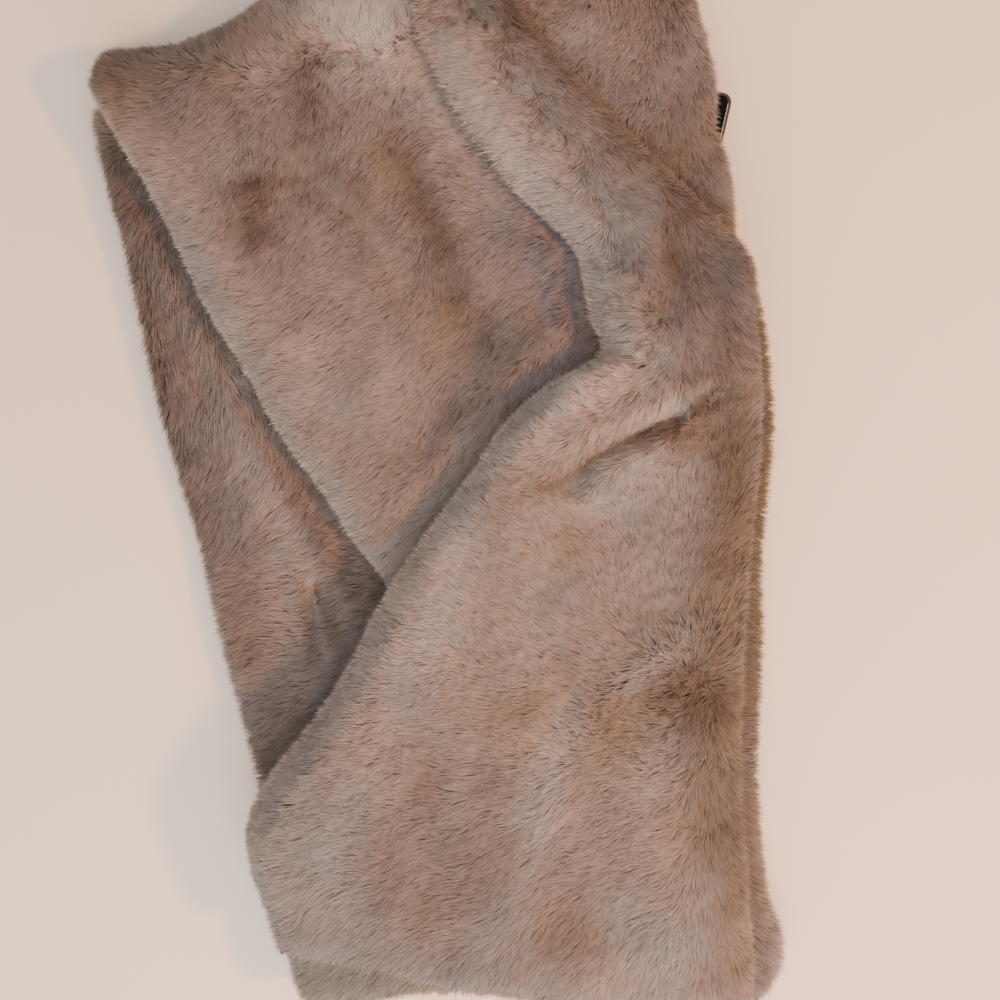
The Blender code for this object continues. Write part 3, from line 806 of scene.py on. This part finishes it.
def under_half_sheets(spacing):
    """Plan, upper and lower sheet: a flat slab whose edges turn over as quarter ellipses,
    thinner towards its free left edge, with its creases added where it has risen."""
    plan = stretch_plan(UNDER_SECTIONS, FOLD_LINE, HEM_RADIUS, HEM_RADIUS, UNDER_REACH, spacing)
    rise = plan["side"] * rounding(plan["from_end"], HEM_RADIUS)
    crown = plan["crown"] - plan["droop"]
    plan["thickness"], plan["rim_highlight"] = crown, UNDER_RIM_HIGHLIGHT
    tip = SINGLE_TIP * crown
    top = tip + (crown + relief(UNDER_CREASES, plan["x"], plan["y"]) - tip) * rise
    bottom = tip * (1 - np.clip(UNDERCUT * rise, 0, 1))
    return plan, *sheets_of(plan, top, bottom)


def ring_of(sections, left_inset, right_inset, first_row=0.0):
    """The outline of a stretch in plan, from its table, moved in at each side and begun that
    many rows up from its hem."""
    steps = OUTLINE_POINTS_PER_ROW * len(sections)
    rows = through(sections, np.linspace(first_row, len(sections) - 1, steps))
    left, right = rows[:, 0:2], rows[:, 2:4]
    step = unit(right - left)
    return np.concatenate([left + left_inset * step, (right - right_inset * step)[::-1]])


# The two stretches that lie over the under half. No pile grows well inside their outlines.
UPPER_LEFT_SECTIONS = (
    Section(-94, -250, 109, -216, 0, 42.0, 0, 0, 2),
    Section(-101, -234, 109, -203, 0, 43.5, 0, 0, 3),
    Section(-105, -215, 108, -190, 0, 44.0, 0, 0, 6),
    Section(-108, -188, 107, -168, 0, 44.0, 0, 0, 8),
    Section(-109, -160, 106, -146, 0, 44.0, 0, 0, 9),
    Section(-101, -138, 105, -116, 0, 44.0, 0, 0, 9),
    Section(-83, -116, 106, -76, 0, 44.0, 0, 0, 9),
    Section(-64, -88, 108, -30, 0, 44.0, 0, 0, 9),
    Section(-55, -62, 110, 16, 0, 44.0, 0, 0, 9),
    Section(-54, -44, 110, 52, 0, 44.0, 0, 0, 9),
    Section(-70, -22, 108, 74, 0, 44.0, 0, 0, 9),
    Section(-87.5, 5, 106, 90, 0, 44.0, 0, 0, 9),
    Section(-108.5, 34, 98, 104, 0, 44.0, 0, 0, 9),
    Section(-125, 64, 82, 118, 0, 44.0, 0, 0, 9),
    Section(-146, 98, 60, 134, 0, 44.0, 0, 0, 9),
    Section(-159, 127, 38, 151, 0, 44.0, 0, 0, 8),
    Section(-171, 151, 24, 173, 0, 44.0, 0, 0, 6),
    Section(-186, 176, 6, 208, 0.4, 44.0, 0, 0, 3),
    Section(-201, 204, -12, 265, 1, 44.0, 0, 0, 2),
    Section(-198, 223, -15, 287, 1, 43.0),
)

CROSSING_SECTIONS = (
    Section(-104, -214, 119, -242, 1, 61.0, 0, 3),
    Section(-112, -192, 120, -220, 0.8, 64.0, 4, 5, 2),
    Section(-119.5, -176, 118, -192, 0.4, 66.0, 9, 5, 4),
    Section(-122.5, -162, 117, -172, 0, 67.0, 13, 5, 5),
    Section(-120, -148, 115, -154, 0, 67.0, 14, 5, 6),
    Section(-109.5, -131, 114, -134, 0, 67.0, 13, 5, 7),
    Section(-93, -110, 114, -112, 0, 66.5, 11, 5, 8),
    Section(-75, -84, 115, -84, 0, 66.5, 8, 5, 9),
    Section(-54, -45, 117, -46, 0, 67.0, 3, 5, 10),
    Section(-33, -14, 119, -18, 0, 67.5, 0, 4, 10),
    Section(-11, 15, 121, 8, 0, 68.0, 0, 2, 10),
    Section(3, 36, 122, 30, 0, 69.0, 0, 0, 10),
    Section(25, 55, 122, 51, 0, 70.0, 0, 0, 9),
    Section(48, 69, 121, 69, 0, 70.5, 0, 0, 9),
    Section(43, 85, 119, 86, 0, 70.0, 0, 0, 9),
    Section(40, 103, 120, 103, 0, 68.5, 0, 0, 9, 30),
    Section(36, 119, 115, 118, 0, 66.5, 0, 0, 10, 36),
    Section(11, 145, 89, 145, 0, 64.0, 0, 0, 12, 44),
    Section(-9, 172, 60, 174, 0, 61.0, 0, 0, 12, 44),
    Section(-25, 197, 37, 199, 0, 58.5, 0, 0, 11, 44),
    Section(-37, 225, 15, 225, 0, 55.5, 0, 0, 9, 40),
    Section(-41, 250, 1, 249, 0, 52.5, 0, 0, 6, 36),
    Section(-43, 266, -4, 266, 0, 50.0, 0, 0, 3, 30),
)

under_pile = pile_material("under_half_plush_fibre")
under_backing = backing_material("under_half_knitted_backing", "#5E4A3E")
under_cloth = shell_of_cloth("under_half_cloth", under_half_sheets(SHELL_SPACING), under_backing)
under_fur = grow_pile(
    "under_half_pile",
    under_half_sheets(ROOT_SPACING),
    UNDER_NAP,
    UNDER_PATCHES,
    under_pile,
    count=152000,
    seed=101,
    covers=(
        ring_of(UPPER_LEFT_SECTIONS, left_inset=14, right_inset=14, first_row=1.0),
        ring_of(CROSSING_SECTIONS, left_inset=14, right_inset=38, first_row=1.2),
    ),
)
for piece in (under_cloth, under_fur):
    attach(piece, "root")
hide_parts("under_half")

# ---------------------------------------------------------------------------------------
# Upper left panel: the tube comes back over the fold and runs down under the crossing flap
# as far as the hem. Its free left edge lies on the under half.
# ---------------------------------------------------------------------------------------
FOLD_RADIUS = 22.0
FOLD_WALL = 0.62  # how much of the fold's radius the wall beneath it takes
PANEL_REST = PLY + LAYER_GAP
PANEL_TOP = PANEL_REST + PLY - LAYER_GAP
# how far the panel's left rim takes the painted rim highlight
PANEL_RIM_HIGHLIGHT = 0.7
PANEL_SPLIT_AT = 125.0  # the Y where the panel's two piles meet
CLASP_SEWN_AT = 183.0  # the Y of the clasp's middle
CLASP_PULL = 4.2  # how far its stitches draw the panel's right edge in
CLASP_SPREAD = 14.0  # how far along the edge the pull reaches
CLASP_PULL_FROM, CLASP_PULL_OVER = 70.0, 36.0  # the X where it begins, and how far it grows

UPPER_LEFT_CREASES = (
    Crease(-92, 164, -66, 144, 9, -2.4),
    Crease(-58, 136, -46, 108, 9, -2.4),
    Crease(-128, 150, -118, 108, 12, -2.4),
    Crease(-40, 152, -22, 112, 12, -2.6),
    Crease(-8, 96, -34, 30, 16, -3.0),
    Crease(24, 121, 33, 90, 7, 2.8),
    Crease(31, 84, -48, 2, 7, 3.0),
    Crease(-110, 118, -66, 70, 20, 2.2),
    Crease(-32, 198, 0, 142, 7, -1.6),
)

LEFT_NAP = table(
    Nap,
    (-190, 200, 200), (-165, 160, 190), (-140, 110, 185), (-115, 60, 190), (-90, 10, 200),
    (-70, -30, 215), (-140, 190, 240), (-115, 160, 265), (-105, 125, 262), (-80, 110, 215),
    (-75, 70, 212), (-60, 30, 218), (-45, 0, 225), (-75, 190, 262), (-60, 150, 235),
    (-30, 130, 240), (-15, 80, 235), (-15, 30, 238), (20, 60, 240), (30, 110, 215),
    (-10, 160, 190), (0, 190, 185), (-30, 210, 240), (-60, 240, 80), (-130, 225, 120),
    (-180, 215, 160),
)  # fmt: skip

LEFT_PATCHES = table(
    Patch,
    (-60, 110, 140, 140, 0, "pale", 0.16),
    # The next four rows darken the fold's left corner, whose slopes turn away from the lamp:
    # painted shade.
    (-184, 207, 34, 18, 8, "moss", 0.9),
    (-146, 218, 36, 15, 22, "moss", 0.75),
    (-114, 232, 32, 16, 35, "moss", 0.8),
    (-176, 190, 24, 12, -50, "moss", 0.45),
    (-17, 131, 50, 38, -60, "pale", 0.25),
    (-120, 152, 40, 24, -70, "pale", 0.25),
    (-108, 205, 16, 12, 20, "shade", 0.5),
    # The next three rows are a bright painted highlight on the panel near the fold.
    (-74, 205, 34, 22, -40, "pale", 0.5),
    (-58, 214, 30, 16, -38, "pale", 1.0),
    (-50, 212, 40, 21, -38, "cream", 1.0),
    (-28, 182, 28, 9, -55, "pale", 0.6),
    # Paler along the panel's left edge, where its fibres are seen side on: painted highlight.
    (-141, 126, 62, 10, -62, "pale", 0.35),
    (-103, 100, 30, 13, -72, "pale", 0.3),
    # The next eight rows darken the panel's hollows and creases: painted shade, with the fibres
    # standing up a little in some.
    (-121, 151, 15, 5, 8, "brown", 0.9, 0.1),
    (-117, 133, 20, 8, -84, "brown", 0.8, 0.15),
    (-92, 188, 26, 6, -82, "brown", 0.5, 0.05),
    (-80, 158, 18, 5, -30, "brown", 0.6),
    (-58, 136, 24, 5, -54, "brown", 0.5),
    (-40, 152, 26, 10, -62, "umber", 0.7, 0.08),
    (-24, 122, 18, 10, -60, "umber", 0.6, 0.08),
    (-16, 88, 24, 12, -62, "brown", 0.6, 0.05),
    (-10, 150, 46, 15, -60, "mauve", 0.5),
    # A cool painted shade along the foot of the ridge.
    (20, 112, 70, 17, -70, "mauve", 1.0),
    (4, 72, 22, 16, 60, "shade", 0.8),
    (-22, 42, 34, 13, 54, "shade", 0.8),
    (-96, 100, 34, 26, 0, "rose", 0.3),
    (-76, 182, 22, 16, 0, "rose", 0.35),
    (-66, 50, 60, 30, -62, "pale", 0.3),
    (-48, 62, 26, 14, -60, "pale", 0.3),
    # The next two rows lighten the shadow that the crossing flap's edge casts on the panel:
    # painted light.
    (36, 56, 60, 9, 46, "pale", 0.7),
    (-18, -8, 40, 8, 52, "pale", 0.45),
    # The next three rows lighten the shaded band beside the ridge and the flap: painted light.
    (38, 98, 30, 8, -76, "pale", 0.7),
    (44, 86, 32, 5, -72, "fawn", 0.8),
    (26, 54, 46, 6, 42, "fawn", 0.6),
    # The next two rows darken and cool the stretch beside the ridge that the lamp lights: painted
    # shade.
    (30, 98, 36, 7, -79, "mauve", 0.8),
    (31, 95, 32, 6, -79, "slate", 0.3),
    # Lightens the shaded foot of the ridge near the fold: painted light.
    (-15, 180, 56, 6, -57, "fawn", 0.7),
    (-74, -230, 56, 14, -6, "ash", 0.9),
)


def folded_panel_sheets(sections, creases, spacing, pull=0.0):
    """Plan, upper and lower sheet of a panel: it lies on the under half, and its far end turns
    down to the table over the radius of the fold. Its edge can be drawn in where the clasp is
    sewn on, by the pull times a bell along the edge, which fades out towards the middle."""
    plan = stretch_plan(sections, FOLD_LINE, HEM_RADIUS, FOLD_RADIUS, UNDER_REACH, spacing)
    bell = np.exp(-(((plan["y"] - CLASP_SEWN_AT) / CLASP_SPREAD) ** 2))
    growth = np.clip((plan["x"] - CLASP_PULL_FROM) / CLASP_PULL_OVER, 0, 1) ** 2
    plan["x"] = plan["x"] - pull * bell * growth
    hem = rounding(plan["from_hem"], HEM_RADIUS)
    fold = rounding(plan["from_fold"], FOLD_RADIUS)
    turning = plan["from_fold"] < FOLD_RADIUS - LAYER_GAP
    rest = np.where(turning, 0.0, PANEL_REST)
    plan["thickness"], plan["rim_highlight"] = plan["crown"] - rest, PANEL_RIM_HIGHLIGHT
    tip = rest + SINGLE_TIP * plan["thickness"]
    rise = plan["side"] * hem * fold
    wall = rounding(plan["from_fold"], FOLD_RADIUS * FOLD_WALL)
    fall = np.clip(UNDERCUT * plan["side"] * hem, 0, 1) * wall
    top = tip + (plan["crown"] + relief(creases, plan["x"], plan["y"]) - tip) * rise
    return plan, *sheets_of(plan, top, tip + (rest - tip) * fall)


panel_pile = pile_material("panel_plush_fibre")
panel_backing = backing_material("panel_knitted_backing", "#6A5447")
left_cloth = shell_of_cloth(
    "upper_left_panel_cloth",
    folded_panel_sheets(UPPER_LEFT_SECTIONS, UPPER_LEFT_CREASES, SHELL_SPACING),
    panel_backing,
)
left_sheets = folded_panel_sheets(UPPER_LEFT_SECTIONS, UPPER_LEFT_CREASES, ROOT_SPACING)
under_flap = (ring_of(CROSSING_SECTIONS, left_inset=16, right_inset=36, first_row=1.6),)
left_far_fur = grow_pile(
    "upper_left_panel_pile_by_fold",
    left_sheets,
    LEFT_NAP,
    LEFT_PATCHES,
    panel_pile,
    count=138000,
    seed=102,
    covers=under_flap,
    part=(PANEL_SPLIT_AT, math.inf),
)
left_near_fur = grow_pile(
    "upper_left_panel_pile_below",
    left_sheets,
    LEFT_NAP,
    LEFT_PATCHES,
    panel_pile,
    count=179000,
    seed=106,
    covers=under_flap,
    part=(-math.inf, PANEL_SPLIT_AT),
)
for piece in (left_cloth, left_far_fur, left_near_fur):
    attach(piece, "root")
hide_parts("upper_left_panel")

# ---------------------------------------------------------------------------------------
# Upper right panel: the same upper half where it shows on the other side of the pleat. Its
# right edge lies over the clasp.
# ---------------------------------------------------------------------------------------
UPPER_RIGHT_SECTIONS = (
    Section(40, 162, 108, 112, 0, 42.0),
    Section(33, 174, 114, 129, 0, 43.5),
    Section(26, 184, 114, 147, 0, 44.0),
    Section(17, 196, 112, 166, 0, 44.0),
    Section(7, 213, 108, 194, 0.2, 44.0),
    Section(-3, 236, 104.5, 211, 0.6, 44.0),
    Section(-9, 266, 100.5, 228, 1, 44.0),
    Section(-12, 287, 97, 251, 1, 43.0),
)

UPPER_RIGHT_CREASES = (Crease(40, 215, 84, 200, 14, -1.4),)

RIGHT_NAP = table(
    Nap,
    (105, 230, 320), (107, 188, 292), (108, 172, 295), (112, 150, 315), (90, 210, 275),
    (70, 190, 250), (85, 160, 265), (45, 220, 235), (40, 190, 240), (60, 245, 260), (20, 240, 230),
)  # fmt: skip

RIGHT_PATCHES = table(
    Patch,
    (43, 224, 28, 13, -10, "rose", 0.5),
    (43, 224, 24, 10, -10, "pale", 0.6),
    (72, 198, 22, 18, 0, "tan", 0.2),
    (64, 196, 26, 20, 0, "pale", 0.4),
    (91, 166, 15, 11, 20, "tan", 0.8),
    (98, 215, 22, 7, -80, "pale", 0.4),
    (10, 228, 15, 10, -40, "brown", 0.8),
    # The next three rows darken the crease at the ridge's right foot: painted shade.
    (42, 186, 24, 7, -50, "brown", 0.7),
    (70, 160, 22, 8, -45, "brown", 0.9),
    (98, 134, 18, 9, -45, "brown", 0.9),
)

right_cloth = shell_of_cloth(
    "upper_right_panel_cloth",
    folded_panel_sheets(UPPER_RIGHT_SECTIONS, UPPER_RIGHT_CREASES, SHELL_SPACING, CLASP_PULL),
    panel_backing,
)
right_fur = grow_pile(
    "upper_right_panel_pile",
    folded_panel_sheets(UPPER_RIGHT_SECTIONS, UPPER_RIGHT_CREASES, ROOT_SPACING, CLASP_PULL),
    RIGHT_NAP,
    RIGHT_PATCHES,
    panel_pile,
    count=90000,
    seed=103,
    covers=(ring_of(CROSSING_SECTIONS, left_inset=12, right_inset=26),),
)
for piece in (right_cloth, right_fur):
    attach(piece, "root")
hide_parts("upper_right_panel")

# ---------------------------------------------------------------------------------------
# Crossing flap: the pleat starts at the fold as a narrow ridge, bends where it crosses, and
# widens into the flap that lies over both panels down to the hem.
# ---------------------------------------------------------------------------------------
CROSSING_RADIUS = 17.0
CROSSING_REACH = 27.0
CROSSING_TIP = 0.34  # height of the flap's edge, as a share of its thickness
CROSSING_REST = PANEL_TOP + LAYER_GAP
# how far the flap's left rim takes the painted rim highlight
CROSSING_RIM_HIGHLIGHT = 0.6
CROSSING_SPLIT_AT = -55.0  # the Y where its two piles meet, a little below the bend
HEM_LINE = ((-106, -214), (-60, -221), (-10, -232), (40, -238), (125, -242))

CROSSING_CREASES = (
    Crease(8, 24, 82, 54, 12, 5.0),
    Crease(96, 51, 90, 49, 5, -3.5),
    Crease(82, 41, 68, 34, 5, -7.0),
    Crease(61, 30, 48, 24, 5, -7.5),
    Crease(40, 18, 31, 7, 6, -6.0),
    Crease(34, 26, 72, 45, 5, 2.6),
    Crease(88, 52, 87, 64, 4, -2.5),
    Crease(50, 10, 58, 0, 9, 3.0),
    Crease(78, 118, 77, 92, 7, -3.0),
    Crease(42, -94, 94, -54, 9, 2.8),
    Crease(66, -88, 100, -86, 13, -3.6),
    Crease(96, -44, 106, -46, 8, -2.4),
    Crease(44, -100, 22, -140, 9, 2.6),
    Crease(-38, -118, -34, -176, 15, -3.2),
    Crease(36, -198, 44, -200, 13, -2.8),
    Crease(-78, -150, -62, -196, 20, 2.2),
    Crease(-8, -14, -32, -86, 14, 2.2),
)

CROSSING_NAP = table(
    Nap,
    (-115, -165, 190), (-100, -120, 200), (-80, -150, 185), (-75, -85, 185), (-45, -40, 170),
    (-20, 0, 150), (0, 28, 140), (25, 50, 135), (48, 66, 150), (30, -10, 135), (0, -50, 150),
    (40, -60, 140), (50, 20, 235), (75, 40, 240), (35, 12, 225), (85, 52, 260), (70, -10, 105),
    (95, 0, 90), (112, 40, 80), (115, -10, 70), (70, -50, 110), (98, -40, 85), (116, -50, 50),
    (82, -64, 130), (98, -70, 75), (112, -78, 15), (114, -95, 20), (97, -100, 235),
    (107, -104, 300), (40, -90, 165), (70, -85, 170), (60, -120, 175), (80, -125, 180),
    (98, -130, 258), (112, -130, 305), (98, -165, 262), (113, -165, 318), (100, -190, 260),
    (114, -198, 335), (112, -226, 320), (98, -226, 285), (84, -228, 262), (66, -230, 245),
    (80, -208, 232), (100, -208, 272), (78, -155, 190), (75, -188, 205), (56, -212, 215),
    (50, -160, 188), (-40, -120, 175), (-30, -180, 185), (20, -140, 205), (20, -190, 212),
    (0, -105, 165), (-80, -205, 215), (0, -228, 235), (45, -238, 235), (60, 90, 180),
    (45, 100, 180), (35, 130, 180), (22, 155, 185), (5, 180, 185), (-15, 210, 190),
    (-30, 245, 200), (62, 120, 300), (50, 150, 305), (30, 180, 310), (15, 205, 312),
    (-5, 240, 315), (75, 110, 285), (90, 90, 290), (105, 100, 310), (85, 130, 300), (115, 85, 290),
    (100, 70, 280),
)  # fmt: skip

CROSSING_PATCHES = table(
    Patch,
    # The next six rows darken the flap's right side, where its tips point towards the lamp:
    # painted shade, with a paler grey line along its very rim.
    (106, 26, 62, 12, 90, "umber", 0.85),
    (108, 62, 40, 12, 90, "umber", 0.35),
    (120, 0, 90, 5, 90, "grey", 0.8),
    (100, -30, 44, 14, 84, "umber", 0.75),
    (110, 92, 44, 13, -76, "shade", 1.0),
    (108, -140, 100, 11, 90, "umber", 0.6),
    # The next two rows darken hollows on the flap's right side: painted shade, with the fibres
    # standing up a little.
    (97, -46, 15, 11, 30, "brown", 0.9, 0.08),
    (86, -88, 34, 18, 2, "umber", 0.8, 0.08),
    (78, -60, 26, 15, 10, "olive", 0.4),
    (94, -134, 36, 8, 92, "brown", 0.45, 0.05),
    (50, -104, 14, 9, -50, "brown", 0.7, 0.05),
    (18, -94, 22, 9, 10, "brown", 0.7),
    # Darker in the valley down the flap: painted shade.
    (-37, -146, 46, 13, 88, "brown", 0.75),
    (-5, -150, 36, 9, 84, "brown", 0.55),
    # Darker in the dimple near the hem: painted shade, with the fibres standing up a little.
    (37, -199, 16, 13, 0, "brown", 0.75, 0.08),
    # Darker where the undercut below the roll begins: painted shade.
    (9, 1, 16, 8, 20, "brown", 0.6),
    (59, -7, 12, 8, 0, "shade", 0.5),
    # Darker in the trough on the ridge: painted shade, with the fibres standing up a little.
    (80, 113, 17, 8, 88, "umber", 0.7, 0.08),
    (9, 226, 15, 10, -50, "brown", 0.85),
    (-27, -46, 52, 14, 70, "pale", 0.8),
    (-33, -58, 28, 12, 75, "pale", 0.5),
    (8, -48, 40, 14, 76, "pale", 0.35),
    # The next four rows are paler on the roll and just below its undercut: painted highlight.
    (50, 10, 26, 12, 24, "cream", 0.9),
    (24, 36, 30, 10, 36, "pale", 0.6),
    (56, 52, 34, 14, 24, "cream", 0.7),
    (45, 60, 24, 10, 24, "cream", 0.2),
    # Paler on the ridge's left flank: a painted highlight that also lifts its shade.
    (5, 186, 60, 18, -56, "pale", 0.35),
    (86, 28, 14, 9, 10, "brown", 0.8),
    # The next four rows: a paler line along the roll's lip, then darker in the undercut below it
    # and in a small trough: a painted highlight and painted shade.
    (66, 36, 34, 4, 26, "cream", 0.5),
    (68, 29, 30, 3, 26, "umber", 0.9),
    (34, 13, 16, 4, 34, "umber", 0.6),
    (87, 57, 9, 3, 92, "umber", 0.7),
    # The next two rows are paler along raised folds of the flap: painted highlight.
    (68, -74, 32, 8, 38, "pale", 0.65),
    (22, -137, 52, 10, 76, "pale", 0.8),
    (66, -150, 40, 8, 80, "pale", 0.5),
    (-64, -137, 36, 14, 75, "pale", 0.5),
    (68, -210, 28, 15, 40, "pale", 0.7),
    (-30, -170, 32, 24, 0, "shade", 0.8),
    (-76, -214, 60, 16, -10, "ash", 0.9),
    (-94, -198, 40, 22, -60, "ash", 0.55),
    # Paler on the ridge's left flank: painted highlight.
    (14, 168, 66, 17, -60, "pale", 0.8),
    (54, 118, 28, 15, -80, "pale", 0.7),
    (42, 158, 34, 9, -64, "pale", 0.45),
    (10, 176, 50, 6, -60, "rose", 0.3),
    (-80, -165, 60, 42, 60, "grey", 0.8),
    (-50, -216, 80, 16, -8, "shade", 0.6),
    (0, -186, 60, 26, -8, "shade", 0.45),
    (55, -150, 26, 16, 0, "rose", 0.25),
    (20, -20, 40, 20, 60, "tan", 0.25),
    (-30, -172, 34, 24, 90, "brown", 0.3),
    # Darker along the ridge's right edge, where the lamp lights it: painted shade.
    (48, 184, 74, 6, -48, "umber", 0.95),
    # Paler on the ridge's flank: painted highlight.
    (0, 172, 44, 8, -57, "cream", 0.45),
)


def crossing_flap_sheets(spacing):
    """Plan, upper and lower sheet of the flap: its edges turn over low, and hang past the
    panels by their droop."""
    plan = stretch_plan(
        CROSSING_SECTIONS, HEM_LINE, CROSSING_RADIUS, CROSSING_RADIUS, CROSSING_REACH, spacing
    )
    rise = plan["side"] * rounding(plan["from_end"], CROSSING_RADIUS)
    rest, crown = CROSSING_REST - plan["droop"], plan["crown"] - plan["droop"]
    plan["thickness"], plan["rim_highlight"] = crown - rest, CROSSING_RIM_HIGHLIGHT
    tip = rest + CROSSING_TIP * (crown - rest)
    top = tip + (crown + relief(CROSSING_CREASES, plan["x"], plan["y"]) - tip) * rise
    bottom = tip + (rest - tip) * np.clip(UNDERCUT * rise, 0, 1)
    return plan, *sheets_of(plan, top, bottom)


crossing_pile = pile_material("crossing_flap_plush_fibre")
crossing_backing = backing_material("crossing_flap_knitted_backing", "#735C4E")
crossing_cloth = shell_of_cloth(
    "crossing_flap_cloth", crossing_flap_sheets(SHELL_SPACING), crossing_backing
)
crossing_sheets = crossing_flap_sheets(ROOT_SPACING)
ridge_fur = grow_pile(
    "crossing_flap_pile_upper",
    crossing_sheets,
    CROSSING_NAP,
    CROSSING_PATCHES,
    crossing_pile,
    count=183000,
    seed=104,
    part=(CROSSING_SPLIT_AT, math.inf),
)
flap_fur = grow_pile(
    "crossing_flap_pile_lower",
    crossing_sheets,
    CROSSING_NAP,
    CROSSING_PATCHES,
    crossing_pile,
    count=183000,
    seed=105,
    part=(-math.inf, CROSSING_SPLIT_AT),
)
for piece in (crossing_cloth, ridge_fur, flap_fur):
    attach(piece, "root")
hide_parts("crossing_flap")

# ---------------------------------------------------------------------------------------
# Clasp: a cast metal frame plated dark bronze, with a plate of black enamel set in it. It is
# sewn inside the tube's right edge, and only its outer end shows.
# ---------------------------------------------------------------------------------------
ENAMEL = {"Base Color": (*linear("#050506"), 1), "Roughness": 0.22, "Specular IOR Level": 0.15}
BRONZE = {"Base Color": (*linear("#6E5A4C"), 1), "Metallic": 1.0, "Roughness": 0.28}
for node, finish, shading in (
    ("clasp_plate", "black_enamel", ENAMEL),
    ("clasp_rim", "dark_bronze_plating", BRONZE),
):
    material = new_material(finish)
    coat = add_node(material, "ShaderNodeBsdfPrincipled", shading)
    add_node(material, "ShaderNodeOutputMaterial", {}, {"Surface": coat.outputs["BSDF"]})
    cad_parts[node].data.materials[0] = material

bpy.context.view_layer.update()
